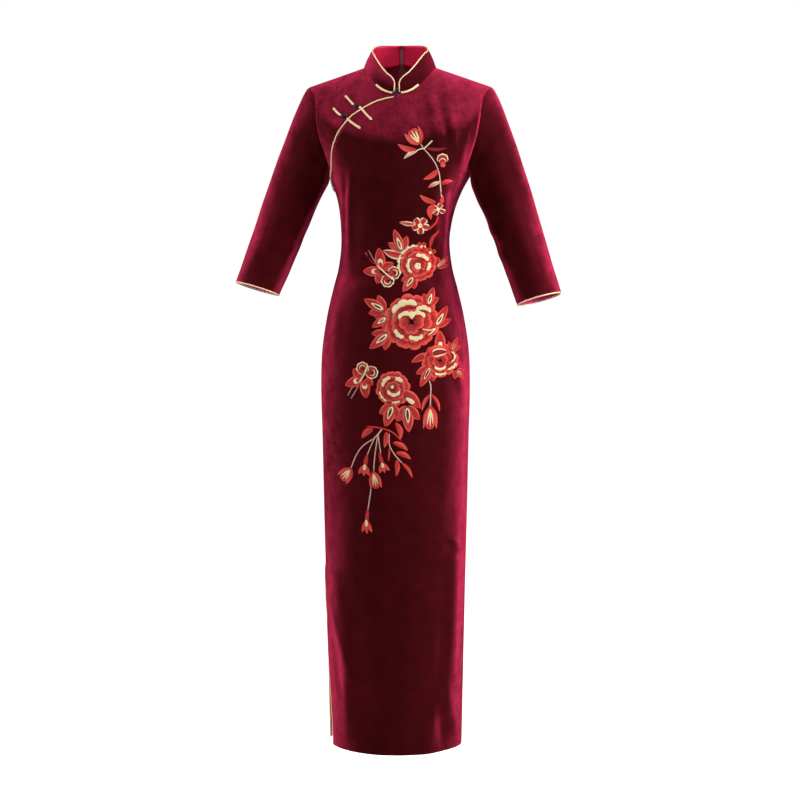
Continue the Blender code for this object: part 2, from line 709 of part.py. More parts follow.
def build_collar_frog(strap, ball):
    """The straps lie along the foot of the collar and the knot stands between its fronts."""
    for part, hand in (("strap_a", -1), ("strap_b", 1)):
        points = []
        for degrees in (52.0, 57.5, 63.0, 68.5, 74.0, 79.0, 83.5):
            turn = hand_turn(math.radians(degrees), hand)
            points.append(collar_layer(turn, 0.09, -(STRAP + SEAM)))
        cord(f"frog_collar_{part}", points, STRAP, strap, facets=2)
    centre = Vector((0.0, -0.0795, -0.0445))
    data = bpy.data.meshes.new("frog_collar_knot")
    mesh = bmesh.new()
    bmesh.ops.create_uvsphere(mesh, u_segments=10, v_segments=6, radius=KNOT)
    bmesh.ops.translate(mesh, verts=mesh.verts, vec=centre)
    mesh.to_mesh(data)
    mesh.free()
    data.shade_smooth()
    place("frog_collar_knot", data, ball)
    ring = []
    for i in range(10):
        turn = 2 * math.pi * i / 10
        ring.append(Vector((0.0042 * math.cos(turn), -0.0834,
                            -0.0545 + 0.0038 * math.sin(turn))))
    cord("frog_collar_loop", ring, LOOP_CORD, ball, ring=True)


# ---------------------------------------------------------------- centre-back zip
def zip_rows():
    """Stops down the zip: a collar height or a body level, and the depth under the outer face."""
    rise = neck(1, math.pi / 2)[1] - PLACKET_END_LEVEL
    upper = [PLACKET_END_LEVEL + rise * rise_share(r) for r in range(ARM_ROWS + 1, -1, -1)]
    lower = [z for z in SKIRT_LEVELS[::-1] if ZIP_END_LEVEL <= z < PLACKET_END_LEVEL]
    rows = [(True, height, COLLAR_CLOTH + SEAM) for height in (0.78, 0.50, 0.25, 0.08)]
    rows += [(False, level, CLOTH + 2 * SEAM) for level in upper + lower]
    return rows


def zip_point(x, on_collar, stop, depth):
    if on_collar:
        return collar_layer(-math.pi / 2 + x / NECK_HALF_WIDTH, stop, depth)
    return body(1, angle_at(x, stop), stop, out=-depth)


def zip_strip(name, start, wide, narrow, thickness, material):
    outer, inner = [], []
    for i, (on_collar, stop, depth) in enumerate(zip_rows()):
        end = narrow if i < 5 else wide
        outer.append([zip_point(x, on_collar, stop, depth) for x in (start, end)])
        inner.append([zip_point(x, on_collar, stop, depth + thickness) for x in (start, end)])
    wall(name, outer, inner, material)


def build_zip(tape, metal):
    for name, hand in (("left", 1), ("right", -1)):
        zip_strip(f"zip_tape_{name}", hand * ZIP_TAPE_EDGE, hand * ZIP_TAPE_OUTER,
                  hand * ZIP_TAPE_OUTER_COLLAR, ZIP_TAPE_THICKNESS, tape)
    zip_strip("zip_chain", -ZIP_CHAIN, ZIP_CHAIN, ZIP_CHAIN, 0.0014, tape)
    build_slider(metal)


def framed(frame, x, y, z):
    origin, across, out, up = frame
    return origin + across * x + out * y + up * z


def pull_frame():
    """Origin on the pull's hinge axis; across is +X, out points away from the collar, up along it."""
    up = Vector((0.0, -math.sin(PULL_TILT), math.cos(PULL_TILT)))
    out = Vector((0.0, math.cos(PULL_TILT), math.sin(PULL_TILT)))
    face = collar(-math.pi / 2, 0.93)
    return face + out * HINGE_OFF_COLLAR, Vector((1.0, 0.0, 0.0)), out, up


def build_slider(metal):
    """Slider: a plate inside the collar and a flat bow that comes out through the gap and holds
    the pull in its window. The pull is a plate with a slot below its round bar."""
    frame = pull_frame()
    plate = -HINGE_OFF_COLLAR - COLLAR_CLOTH - SEAM - 0.0010
    rim = ((plate - 0.0010, -0.0034), (0.0019, -0.0026), (0.0019, 0.0020), (plate - 0.0010, 0.0024))
    window = ((-0.0010, -0.0012), (0.0010, -0.0012), (0.0010, 0.0010), (-0.0010, 0.0010))
    sides = [[[framed(frame, x, y, z) for y, z in loop] for loop in (rim, window)]
             for x in (-0.0005, 0.0005)]
    slider = wall("zip_slider", *sides, metal, ring=True)
    corners = [(-0.0030, -0.0052), (0.0030, -0.0052), (0.0030, 0.0024), (-0.0030, 0.0024)]
    faces = [[[framed(frame, x, y, z) for x, z in (corners[0], corners[1])],
              [framed(frame, x, y, z) for x, z in (corners[3], corners[2])]]
             for y in (plate, plate - 0.0022)]
    block = wall("zip_slider_plate", *faces, metal)
    DRESS.objects.unlink(block)
    HELPERS.objects.link(block)
    block.hide_render = True
    block.display_type = "WIRE"
    union = slider.modifiers.new("plate", "BOOLEAN")
    union.operation = "UNION"
    union.object = block

    half = 0.0004
    outline = ((-0.0019, half), (0.0019, half), (0.0022, -0.0050), (0.0022, -0.0150),
               (0.0012, -0.0168), (-0.0012, -0.0168), (-0.0022, -0.0150), (-0.0022, -0.0050))
    slot = ((-0.0010, -half), (0.0010, -half), (0.0010, -0.0030), (0.0010, -0.0042),
            (0.0006, -0.0050), (-0.0006, -0.0050), (-0.0010, -0.0042), (-0.0010, -0.0030))
    sides = [[[framed(frame, x, y, z) for x, z in loop] for loop in (outline, slot)]
             for y in (half, -half)]
    pull = wall("zip_pull", *sides, metal, ring=True)
    # The pull's own origin is on its hinge axis.
    pull.data.transform(Matrix.Translation(-frame[0]))
    pull.location = frame[0]


# ---------------------------------------------------------------- the whole dress
for old in list(bpy.data.objects):
    bpy.data.objects.remove(old)
DRESS = bpy.data.collections.new("cheongsam")
HELPERS = bpy.data.collections.new("helpers")
for group in (DRESS, HELPERS):
    bpy.context.scene.collection.children.link(group)

VELVET = make_material("burgundy_velvet", (0.150, 0.006, 0.020), 0.75, sheen=0.6)
SATIN = make_material("crimson_satin", (0.420, 0.010, 0.045), 0.38)
GOLD = make_material("gold_satin_piping", (0.830, 0.600, 0.270), 0.40)
KNOT_SATIN = make_material("plum_knot_satin", (0.045, 0.008, 0.030), 0.35)
TAPE = make_material("mauve_zip_tape", (0.260, 0.050, 0.080), 0.70)
METAL = make_material("red_painted_zip_metal", (0.200, 0.020, 0.040), 0.35, metallic=0.3)

build_front_panel(VELVET)
build_front_yoke(VELVET)
build_back_panels(VELVET)
build_sleeves(VELVET)
build_collar(VELVET, SATIN, GOLD)
build_placket_piping(GOLD)
build_cuff_piping(GOLD)
build_slit_piping(GOLD)
build_frogs(GOLD, KNOT_SATIN)
build_collar_frog(GOLD, KNOT_SATIN)
build_zip(TAPE, METAL)
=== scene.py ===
"""Long velvet cheongsam with a piped placket, frog fastenings and an embroidered front."""

import json
import math

import bmesh
import bpy
import numpy as np
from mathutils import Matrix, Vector


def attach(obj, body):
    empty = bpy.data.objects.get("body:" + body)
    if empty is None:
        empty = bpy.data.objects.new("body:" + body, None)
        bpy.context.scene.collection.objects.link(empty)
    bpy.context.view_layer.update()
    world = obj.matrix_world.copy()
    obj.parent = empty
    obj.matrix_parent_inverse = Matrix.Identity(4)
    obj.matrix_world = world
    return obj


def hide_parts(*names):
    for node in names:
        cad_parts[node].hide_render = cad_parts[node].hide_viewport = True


bl_info = {
    "name": "Velvet cheongsam",
    "version": (1, 0, 0),
    "blender": (4, 5, 0),
    "location": "3D View > Sidebar > Cheongsam",
    "description": "Builds a full-length velvet cheongsam with piping, frogs, zip and embroidery",
    "category": "Add Mesh",
}

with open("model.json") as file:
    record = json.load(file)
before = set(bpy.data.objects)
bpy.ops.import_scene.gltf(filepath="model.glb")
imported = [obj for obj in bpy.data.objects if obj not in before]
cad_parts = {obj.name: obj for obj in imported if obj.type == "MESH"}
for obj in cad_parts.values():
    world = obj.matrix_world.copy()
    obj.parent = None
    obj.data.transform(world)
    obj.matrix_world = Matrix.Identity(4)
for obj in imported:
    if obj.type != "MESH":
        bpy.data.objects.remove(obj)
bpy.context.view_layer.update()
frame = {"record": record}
HINGE = Vector(frame["record"]["behaviour"]["joints"][0]["pos_m"])

# ---- sizes of the cut
NECK_HALF_WIDTH = 0.071
NECK_FRONT_DEPTH = 0.076
NECK_BACK_DEPTH = 0.047
SHOULDER_TIP = 0.178
SHOULDER_SLOPE = 0.344
YOKE_LEVEL = -0.15
ARMPIT_LEVEL = -0.21
PLACKET_END_LEVEL = -0.24
HEM_LEVEL = -1.35
HEM_TURN = 0.006
SLIT_LEVEL = -1.04
SLIT_SWING = math.radians(25)
HIP_SWAY = 0.009
SWAY_START_LEVEL = -0.17
SWAY_RUN = 0.18
FOLD_FADE = 0.04                # off the side seams, the large folds reach their full height
CREASE_FADE = 0.02              # the same for the fine folds
RIPPLE = 0.0003
# Level, half width, front depth and back depth of the body's rounded sections
BODY_SECTIONS = (
    (0.060, 0.216, 0.088, 0.118),
    (0.000, 0.212, 0.088, 0.118),
    (-0.040, 0.203, 0.0895, 0.115),
    (-0.075, 0.193, 0.0975, 0.112),
    (-0.105, 0.1855, 0.1055, 0.110),
    (-0.135, 0.175, 0.1125, 0.108),
    (-0.162, 0.1605, 0.117, 0.106),
    (-0.188, 0.148, 0.1205, 0.105),
    (-0.210, 0.140, 0.122, 0.104),
    (-0.235, 0.1275, 0.120, 0.101),
    (-0.265, 0.117, 0.114, 0.095),
    (-0.300, 0.110, 0.1065, 0.089),
    (-0.340, 0.107, 0.101, 0.086),
    (-0.390, 0.1125, 0.105, 0.094),
    (-0.435, 0.124, 0.112, 0.104),
    (-0.485, 0.1355, 0.118, 0.115),
    (-0.555, 0.146, 0.123, 0.125),
    (-0.630, 0.1485, 0.125, 0.128),
    (-0.720, 0.1465, 0.125, 0.123),
    (-0.880, 0.1435, 0.123, 0.115),
    (-1.040, 0.140, 0.121, 0.111),
    (-1.350, 0.1345, 0.118, 0.108),
)
# Level, half width of the front and half width of the back along the armhole seam
ARMHOLE_SEAM = (
    (-0.0368, 0.1780, 0.1780),
    (-0.0550, 0.1660, 0.1690),
    (-0.0750, 0.1620, 0.1655),
    (-0.1050, 0.1590, 0.1620),
    (-0.1350, 0.1535, 0.1560),
    (-0.1620, 0.1450, 0.1465),
    (-0.1880, 0.1370, 0.1380),
    (-0.2000, 0.1375, 0.1375),
    (-0.2100, 0.1400, 0.1400),
)
# Placket from the side seam up to the neck: angle from the right side seam, level
PLACKET = ((0.0, -0.24), (12.0, -0.227), (27.0, -0.199), (38.0, -0.164), (47.5, -0.137),
           (55.0, -0.115), (64.5, -0.0905), (78.0, -0.067), (90.0, -0.057))
# Ninths of the placket that face the eighths of the armhole, then the quarters of the shoulder
YOKE_STATIONS = (0.0, 1.0, 2.0, 3.0, 4.0, 5.0, 5.5, 6.0, 6.5, 7.0, 8.0, 8.5, 9.0)
CLOTH = 0.0016
COLLAR_CLOTH = 0.0012
LINING_CLOTH = 0.001
SEAM = 0.0003
SEAM_SHOWN = -0.00008           # sewn edges overlap by a hair, so no light gets through
YOKE_SHIFT = -0.7 * SEAM_SHOWN
CENTRE_BACK_OVERLAP = 0.0004    # in radians
COLLAR_BACK_OVERLAP = 0.0002
LINING_BACK_GAP = 0.0045        # the collar's lining stops short of the zip
LINING_TUCK = 0.05              # share of its height that the lining goes below the neck seam
ROWS = 36                       # from the end of the placket up to the shoulder
SEAM_ROWS = 5                   # of these, the ones below the armhole
COLLAR_SIDE_TOP = 0.031
COLLAR_FRONT_TOP = -0.022
COLLAR_BACK_TOP = 0.045
COLLAR_TOP_HALF_WIDTH = 0.056
COLLAR_TOP_FRONT = 0.07
COLLAR_TOP_BACK = 0.041
COLLAR_FRONT_GAP = 0.007
COLLAR_CORNER = 0.014
COLLAR_STAND = 0.036
COLLAR_BOW = 0.0012             # how far its cloth bows outwards half way up
COLLAR_DIP = 2.5                # how sharply its top edge falls towards the front
CUFF_OUT = 0.2763
CUFF_LEVEL = -0.4375
CUFF_FORWARD = 0.055
CUFF_HALF_WIDTH = 0.0447
CUFF_HALF_DEPTH = 0.048
CUFF_SLANT = math.radians(16.5)
CUFF_SWING = math.radians(10)
RIGHT_SLEEVE_LIFT = 0.0085
SLEEVE_HEAD = 0.009
SLEEVE_HEAD_WAY = (0.95, 0.0, 0.3)
ARMHOLE_GROOVE = 0.0007
ARMHOLE_GROOVE_SPAN = 0.01      # as a share of the sleeve's length
ARMHOLE_GROOVE_AT_SEAM = 0.0004
KNOT = 0.0045
ZIP_END_LEVEL = -0.52
HINGE_OFF_COLLAR = 0.0019
PULL_TILT = math.radians(9)

HANDS = ((1, "left"), (-1, "right"))    # the wearer's

# Soft ridges, and troughs where the height is below 0: side (front -1, back 1), upper end x
# and z, lower end x and z, half width, height
BODY_FOLDS = (
    (-1, -0.128, -1.0, -0.092, -1.19, 0.016, 0.004),
    (-1, 0.112, -0.96, 0.098, -1.27, 0.014, 0.0035),
    (-1, 0.08, -1.24, 0.06, -1.345, 0.014, 0.0025),
    (-1, -0.09, -0.25, -0.096, -0.38, 0.014, 0.003),
    (-1, 0.076, -0.24, 0.092, -0.4, 0.014, 0.003),
    (1, 0.1, -0.96, 0.086, -1.3, 0.016, 0.004),
    (1, -0.095, -0.9, -0.08, -1.28, 0.016, 0.004),
    (1, -0.07, -0.29, -0.062, -0.4, 0.016, 0.003),
    (1, 0.07, -0.29, 0.062, -0.4, 0.016, 0.003),
)
# Darts, drag lines and creases: upper end x and z, lower end x and z, half width, height
FRONT_FINE_FOLDS = (
    (-0.147, -0.126, -0.104, -0.149, 0.0024, -0.0022),
    (0.147, -0.124, 0.108, -0.146, 0.0024, -0.0022),
    (0.06, -0.045, 0.086, -0.16, 0.009, 0.003),
    (0.078, -0.04, 0.103, -0.15, 0.007, -0.0026),
    (0.094, -0.045, 0.116, -0.165, 0.008, 0.0034),
    (0.126, -0.05, 0.128, -0.15, 0.007, -0.0026),
    (-0.104, -0.034, -0.088, -0.092, 0.007, 0.0026),
    (-0.124, -0.04, -0.118, -0.1, 0.008, -0.0024),
    (0.14, -0.1, 0.122, -0.19, 0.006, 0.0026),
    (-0.089, -0.205, -0.093, -0.366, 0.006, 0.0034),
    (-0.106, -0.215, -0.11, -0.345, 0.005, 0.0026),
    (-0.098, -0.205, -0.102, -0.35, 0.004, -0.0022),
    (0.096, -0.222, 0.085, -0.37, 0.006, 0.0036),
    (0.106, -0.232, 0.098, -0.36, 0.005, -0.0024),
    (0.07, -0.25, 0.076, -0.35, 0.006, 0.0016),
    (-0.055, -0.25, -0.052, -0.47, 0.003, -0.0012),
    (0.048, -0.25, 0.044, -0.47, 0.003, -0.0012),
    (0.104, -0.545, 0.12, -0.6, 0.007, 0.0026),
    (0.114, -0.56, 0.13, -0.655, 0.007, 0.0026),
    (-0.112, -0.42, -0.124, -0.56, 0.01, 0.0022),
    (0.1, -0.916, 0.128, -0.948, 0.006, 0.0034),
    (0.112, -0.955, 0.132, -0.968, 0.005, -0.0022),
    (0.118, -0.87, 0.11, -1.23, 0.01, 0.0036),
    (0.092, -1.08, 0.086, -1.23, 0.01, -0.002),
    (0.1, -1.235, 0.122, -1.35, 0.009, 0.005),
    (0.084, -1.26, 0.096, -1.35, 0.009, -0.0034),
    (-0.15, -0.995, -0.104, -1.165, 0.008, 0.004),
    (-0.14, -1.05, -0.112, -1.24, 0.009, -0.003),
    (-0.104, -1.165, -0.098, -1.33, 0.01, 0.0022),
    (-0.072, -1.08, -0.066, -1.3, 0.016, -0.0022),
    (0.03, -1.0, 0.026, -1.32, 0.022, 0.0022),
    (-0.03, -1.05, -0.034, -1.345, 0.02, 0.0018),
)
BACK_FINE_FOLDS = (
    (-0.137, -0.12, -0.1, -0.16, 0.006, 0.0024),
    (0.137, -0.12, 0.1, -0.16, 0.006, 0.0024),
    (-0.06, -0.25, -0.055, -0.48, 0.003, -0.0015),
    (0.05, -0.25, 0.046, -0.48, 0.003, -0.0015),
    (-0.04, -0.33, -0.09, -0.35, 0.008, 0.0027),
    (0.03, -0.335, 0.085, -0.355, 0.008, 0.0027),
    (-0.03, -0.365, -0.08, -0.385, 0.008, -0.0024),
    (0.025, -0.37, 0.075, -0.392, 0.008, -0.0024),
    (0.055, -0.8, 0.045, -1.32, 0.018, 0.0034),
    (-0.05, -0.85, -0.045, -1.33, 0.018, 0.0034),
    (-0.11, -1.04, -0.085, -1.2, 0.01, 0.0034),
    (0.01, -1.0, 0.005, -1.34, 0.016, -0.0027),
)
# Sleeve folds: turn in degrees and share of the length at each end, half width, height
SLEEVE_FOLDS = (
    (20, 0.02, 75, 0.22, 0.07, 0.0051),
    (40, 0.02, 110, 0.16, 0.06, -0.0037),
    (8, 0.05, 40, 0.34, 0.06, 0.0041),
    (-15, 0.03, -70, 0.22, 0.07, 0.0051),
    (-40, 0.02, -110, 0.16, 0.06, -0.0037),
    (10, 0.42, 70, 0.52, 0.05, 0.0034),
    (20, 0.52, 85, 0.6, 0.05, -0.0031),
    (0, 0.6, 60, 0.68, 0.05, 0.0027),
    (150, 0.1, 160, 0.6, 0.07, 0.0027),
    (210, 0.15, 190, 0.75, 0.08, 0.0024),
    (100, 0.55, 120, 0.95, 0.08, 0.0024),
    (-60, 0.5, -30, 0.9, 0.08, 0.0027),
)


# ---- smooth tables
class SmoothColumn:
    """A column of a table sorted from high to low, read on a smooth curve through its rows."""

    def __init__(self, rows, column):
        self.level = np.array([row[0] for row in rows][::-1])
        self.value = np.array([row[column] for row in rows][::-1])
        last = len(rows) - 1
        low = np.maximum(np.arange(last + 1) - 1, 0)
        high = np.minimum(np.arange(last + 1) + 1, last)
        rise = self.value[high] - self.value[low]
        self.slope = rise / (self.level[high] - self.level[low])

    def __call__(self, level):
        level = np.clip(level, self.level[0], self.level[-1])
        i = np.clip(np.searchsorted(self.level, level, "right") - 1, 0, len(self.level) - 2)
        span = self.level[i + 1] - self.level[i]
        t = (level - self.level[i]) / span
        return ((2 * t**3 - 3 * t**2 + 1) * self.value[i]
                + (t**3 - 2 * t**2 + t) * span * self.slope[i]
                + (3 * t**2 - 2 * t**3) * self.value[i + 1]
                + (t**3 - t**2) * span * self.slope[i + 1])


half_width = SmoothColumn(BODY_SECTIONS, 1)
front_depth = SmoothColumn(BODY_SECTIONS, 2)
back_depth = SmoothColumn(BODY_SECTIONS, 3)
front_armhole = SmoothColumn(ARMHOLE_SEAM, 1)
back_armhole = SmoothColumn(ARMHOLE_SEAM, 2)


def along(points, t):
    """Points at t, from 0 to 1, on a smooth curve through points."""
    points = np.asarray(points, float)
    last = len(points) - 1
    spot = np.clip(np.asarray(t, float), 0, 1) * last
    i = np.minimum(spot.astype(int), last - 1)
    f = (spot - i)[..., None]
    before, start, end, after = (points[np.clip(i + k, 0, last)] for k in (-1, 0, 1, 2))
    return 0.5 * (2 * start + (end - before) * f
                  + (2 * before - 5 * start + 4 * end - after) * f**2
                  + (3 * start - before - 3 * end + after) * f**3)


def ease(t):
    t = np.clip(t, 0, 1)
    return t * t * (3 - 2 * t)


def unit(vectors):
    return vectors / np.maximum(np.linalg.norm(vectors, axis=-1, keepdims=True), 1e-12)


def stacked(*parts):
    return np.stack(np.broadcast_arrays(*(np.asarray(p, float) for p in parts)), axis=-1)


# ---- the body's surface
def sway(level):
    """How far the body below the armpits leans to the wearer's right."""
    return -HIP_SWAY * ease((SWAY_START_LEVEL - level) / SWAY_RUN)


def shoulder_level(x):
    return -(np.abs(x) - NECK_HALF_WIDTH) * SHOULDER_SLOPE


def rise_share(x, level):
    return np.maximum(0.0, (level - YOKE_LEVEL) / (shoulder_level(x) - YOKE_LEVEL))


def body_depth(side, level):
    return front_depth(level) if side < 0 else back_depth(level)


def body_normal(side, points):
    def inside(x, y, z):
        offset = x - sway(z)
        return ((y / body_depth(side, z)) ** 2
                - (1 - (offset / half_width(z)) ** 2) * (1 - rise_share(offset, z) ** 2))

    x, y, z = points[..., 0], points[..., 1], points[..., 2]
    d = 1e-4
    return unit(stacked(inside(x + d, y, z) - inside(x - d, y, z),
                        inside(x, y + d, z) - inside(x, y - d, z),
                        inside(x, y, z + d) - inside(x, y, z - d)))


def fold_sum(folds, x, level, ends):
    """Height of all the folds together. ends is the share of its height that a fold keeps at
    its two ends."""
    total = np.zeros(np.broadcast(x, level).shape)
    for x0, z0, x1, z1, half, height in folds:
        run, rise = x1 - x0, z1 - z0
        t = np.clip(((x - x0) * run + (level - z0) * rise) / (run * run + rise * rise), 0, 1)
        away = np.hypot(x - x0 - t * run, level - z0 - t * rise)
        swell = ends + (1 - ends) * np.sin(np.pi * t)
        total += height * np.exp(-((away / half) ** 2)) * swell
    return total


def large_folds(side, x, level):
    return fold_sum([fold[1:] for fold in BODY_FOLDS if fold[0] == side], x, level, 1.0)


def fine_folds(side, x, level):
    folds = FRONT_FINE_FOLDS if side < 0 else BACK_FINE_FOLDS
    ripple = RIPPLE * np.sin(46 * x + 5.1 * level + side) * np.sin(7.3 * level + 11 * x)
    return fold_sum(folds, x, level, 0.35) + ripple


def body(side, angle, level, out=0.0):
    """Points of the body cloth, off its outer face by out. side is -1 for the front and 1 for
    the back; angle runs from the left side seam, 0, to the right one, pi."""
    angle, level = np.broadcast_arrays(np.asarray(angle, float), np.asarray(level, float))
    x = half_width(level) * np.cos(angle)
    full = np.sqrt(np.maximum(0.0, 1 - rise_share(x, level) ** 2))
    y = side * body_depth(side, level) * np.sin(angle) * full
    points = stacked(x + sway(level), y, level)
    lift = ease(np.abs(y) / FOLD_FADE) * large_folds(side, points[..., 0], level)
    lift = lift + ease(np.abs(y) / CREASE_FADE) * fine_folds(side, points[..., 0], level)
    return points + body_normal(side, points) * (lift + out)[..., None]


# ---- seams, as (angle, level)
def angle_at(x, level):
    return np.arccos(np.clip(x / half_width(level), -1, 1))


def armhole(side, t, hand=1):
    top = shoulder_level(SHOULDER_TIP)
    level = (ARMPIT_LEVEL + top) / 2 - (top - ARMPIT_LEVEL) / 2 * np.cos(np.pi * np.asarray(t))
    x = np.minimum((front_armhole if side < 0 else back_armhole)(level), half_width(level))
    return angle_at(hand * x, level), level


def shoulder(t, hand=1):
    x = NECK_HALF_WIDTH + (SHOULDER_TIP - NECK_HALF_WIDTH) * np.asarray(t)
    return angle_at(hand * x, shoulder_level(x)), shoulder_level(x)


def neck(side, turn):
    turn = np.asarray(turn, float)
    x = NECK_HALF_WIDTH * np.cos(turn)
    depth = (NECK_FRONT_DEPTH if side < 0 else NECK_BACK_DEPTH) * np.sin(turn)
    low, high = np.full(x.shape, YOKE_LEVEL), shoulder_level(x)
    for _ in range(40):
        level = (low + high) / 2
        full = np.sqrt(np.maximum(0.0, 1 - rise_share(x, level) ** 2))
        reach = body_depth(side, level) * np.sin(angle_at(x, level)) * full
        low = np.where(reach > depth, level, low)
        high = np.where(reach > depth, high, level)
    return angle_at(x, high), high


def placket(t):
    curve = along(PLACKET, t)
    return np.pi - np.radians(np.maximum(curve[..., 0], 0)), curve[..., 1]


def outer_edge(side, hand=1):
    """Outer edge of an upper panel, one point to a row: the side seam, then the armhole."""
    angle, level = armhole(side, np.linspace(0, 1, ROWS - SEAM_ROWS), hand)
    climb = np.linspace(0, 1, SEAM_ROWS + 1)[:-1]
    low = ARMPIT_LEVEL - (ARMPIT_LEVEL - PLACKET_END_LEVEL) * (1 - climb)
    start = np.full(SEAM_ROWS, 0.0 if hand > 0 else math.pi)
    return np.concatenate([start, angle]), np.concatenate([low, level])


def patch(bottom, top, left, right, share):
    """Angles and levels spanning four seams. bottom and top run across, left and right up."""
    bottom, top, left, right = (np.stack(edge, axis=-1) for edge in (bottom, top, left, right))
    u = np.linspace(0, 1, len(bottom))[None, :, None]
    v = np.asarray(share)[:, None, None]
    grid = ((1 - v) * bottom[None] + v * top[None] + (1 - u) * left[:, None] + u * right[:, None]
            - (1 - u) * (1 - v) * bottom[0] - u * (1 - v) * bottom[-1]
            - (1 - u) * v * top[0] - u * v * top[-1])
    return list(grid)


# ---- meshes
def finish_mesh(name, points, faces, materials, slots=None):
    mesh = bpy.data.meshes.new(name)
    mesh.from_pydata([tuple(p) for p in points], [], faces)
    for material in materials:
        mesh.materials.append(material)
    if slots is not None:
        mesh.polygons.foreach_set("material_index", np.asarray(slots, np.int32))
    mesh.validate()
    mesh.update()
    mesh.shade_smooth()
    piece = bpy.data.objects.new(name, mesh)
    bpy.context.scene.collection.objects.link(piece)
    return piece


def outward(piece):
    mesh = bmesh.new()
    mesh.from_mesh(piece.data)
    bmesh.ops.recalc_face_normals(mesh, faces=mesh.faces)
    mesh.to_mesh(piece.data)
    mesh.free()
    return piece


def wall(name, outer, inner, materials, ring=False):
    """A closed cloth wall between two grids of points. The second material lines it, and the
    first covers its edges. A row may have one point less than the row before it, lost at its
    start. In a ring the last point of a row joins the first."""
    points = np.concatenate([np.concatenate(outer), np.concatenate(inner)])
    sizes = [len(row) for row in outer]
    starts = np.concatenate([[0], np.cumsum(sizes)])[:-1]
    below = sum(sizes)
    faces, slots = [], []
    for shift, slot in ((0, 0), (below, len(materials) - 1)):
        for r in range(len(sizes) - 1):
            here, after, lost = starts[r] + shift, starts[r + 1] + shift, sizes[r] - sizes[r + 1]
            if lost:
                faces.append((here, here + 1, after))
                slots.append(slot)
            count = sizes[r + 1]
            for c in range(count if ring else count - 1):
                n = (c + 1) % count
                faces.append((here + c + lost, here + n + lost, after + n, after + c))
                slots.append(slot)
    for r in (0, len(sizes) - 1):
        for c in range(sizes[r] if ring else sizes[r] - 1):
            a, b = starts[r] + c, starts[r] + (c + 1) % sizes[r]
            faces.append((a, b, b + below, a + below))
            slots.append(0)
    if not ring:
        for r in range(len(sizes) - 1):
            for a, b in ((starts[r], starts[r + 1]),
                         (starts[r] + sizes[r] - 1, starts[r + 1] + sizes[r + 1] - 1)):
                faces.append((a, b, b + below, a + below))
                slots.append(0)
    faces = [tuple(int(i) for i in face) for face in faces]
    return outward(finish_mesh(name, points, faces, materials, slots))


def cloth_panel(name, side, grid, materials, shift=(0.0, 0.0, 0.0)):
    move = np.array([0.0, side * SEAM_SHOWN / 2, 0.0]) + np.array(shift)
    outer = [body(side, row[:, 0], row[:, 1]) + move for row in grid]
    inner = [body(side, row[:, 0], row[:, 1], -CLOTH) + move for row in grid]
    return wall(name, outer, inner, materials)


def keep(piece, slot, *nodes, body_name="root"):
    """Puts a finished piece in the frame: it joins its body, and the solids it stands for are
    hidden. Its record slot is not used.
    """
    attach(piece, body_name)
    if nodes:
        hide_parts(*nodes)
    return piece


# ---- shader maths
class Number:
    """A number socket in a material; an expression on it adds its Math nodes."""

    def __init__(self, paint, socket):
        self.paint, self.socket = paint, socket

    def _math(self, operation, *values):
        node = self.paint.node("ShaderNodeMath", {"operation": operation}, values)
        return Number(self.paint, node.outputs[0])

    def __add__(self, other):
        return self._math("ADD", self, other)

    def __mul__(self, other):
        return self._math("MULTIPLY", self, other)

    def __sub__(self, other):
        return self._math("SUBTRACT", self, other)

    def __rsub__(self, other):
        return self._math("SUBTRACT", other, self)

    def __pow__(self, other):
        return self._math("POWER", self, other)

    __radd__ = __add__
    __rmul__ = __mul__

    def clamped(self, low=0.0, high=1.0):
        return self._math("MINIMUM", self._math("MAXIMUM", self, low), high)


class Paint:
    """A material in the making."""

    def __init__(self, name, **settings):
        self.material = bpy.data.materials.new(name)
        self.material.use_nodes = True
        self.tree = self.material.node_tree
        self.shader = self.tree.nodes["Principled BSDF"]
        for socket, value in settings.items():
            self.set(socket.replace("_", " "), value)

    def feed(self, socket, value):
        if isinstance(value, Number):
            self.tree.links.new(value.socket, socket)
        elif isinstance(value, bpy.types.NodeSocket):
            self.tree.links.new(value, socket)
        elif isinstance(value, tuple) and len(value) == 3 and socket.type == "RGBA":
            socket.default_value = (*value, 1.0)
        else:
            socket.default_value = value

    def node(self, kind, settings=None, values=()):
        node = self.tree.nodes.new(kind)
        for key, value in (settings or {}).items():
            setattr(node, key, value)
        pairs = values.items() if isinstance(values, dict) else enumerate(values)
        for key, value in pairs:
            self.feed(node.inputs[key], value)
        return node

    def set(self, socket, value):
        self.feed(self.shader.inputs[socket], value)

    def place(self, scale=(1.0, 1.0, 1.0), turn=(0.0, 0.0, 0.0)):
        coordinates = self.node("ShaderNodeTexCoord").outputs["Object"]
        return self.node("ShaderNodeMapping", None, {
            "Vector": coordinates, "Scale": scale, "Rotation": turn}).outputs[0]

    def noise(self, scale, detail=2.0, stretch=(1.0, 1.0, 1.0)):
        node = self.node("ShaderNodeTexNoise", None, {
            "Vector": self.place(stretch), "Scale": scale, "Detail": detail})
        return Number(self, node.outputs["Fac"])

    def threads(self, scale, turn=(0.0, 0.0, 0.0), distortion=0.4):
        node = self.node("ShaderNodeTexWave", {"wave_type": "BANDS", "bands_direction": "X"}, {
            "Vector": self.place(turn=turn), "Scale": scale,
            "Distortion": distortion, "Detail": 1.0})
        return Number(self, node.outputs["Fac"])

    def mix(self, factor, first, second):
        node = self.node("ShaderNodeMix", {"data_type": "RGBA"})
        self.feed(node.inputs[0], factor)
        self.feed(node.inputs[6], first)
        self.feed(node.inputs[7], second)
        return node.outputs[2]

    def bump(self, height, distance, strength=1.0, under=None):
        node = self.node("ShaderNodeBump", None, {
            "Strength": strength, "Distance": distance, "Height": height})
        if under is not None:
            self.feed(node.inputs["Normal"], under)
        return node.outputs[0]


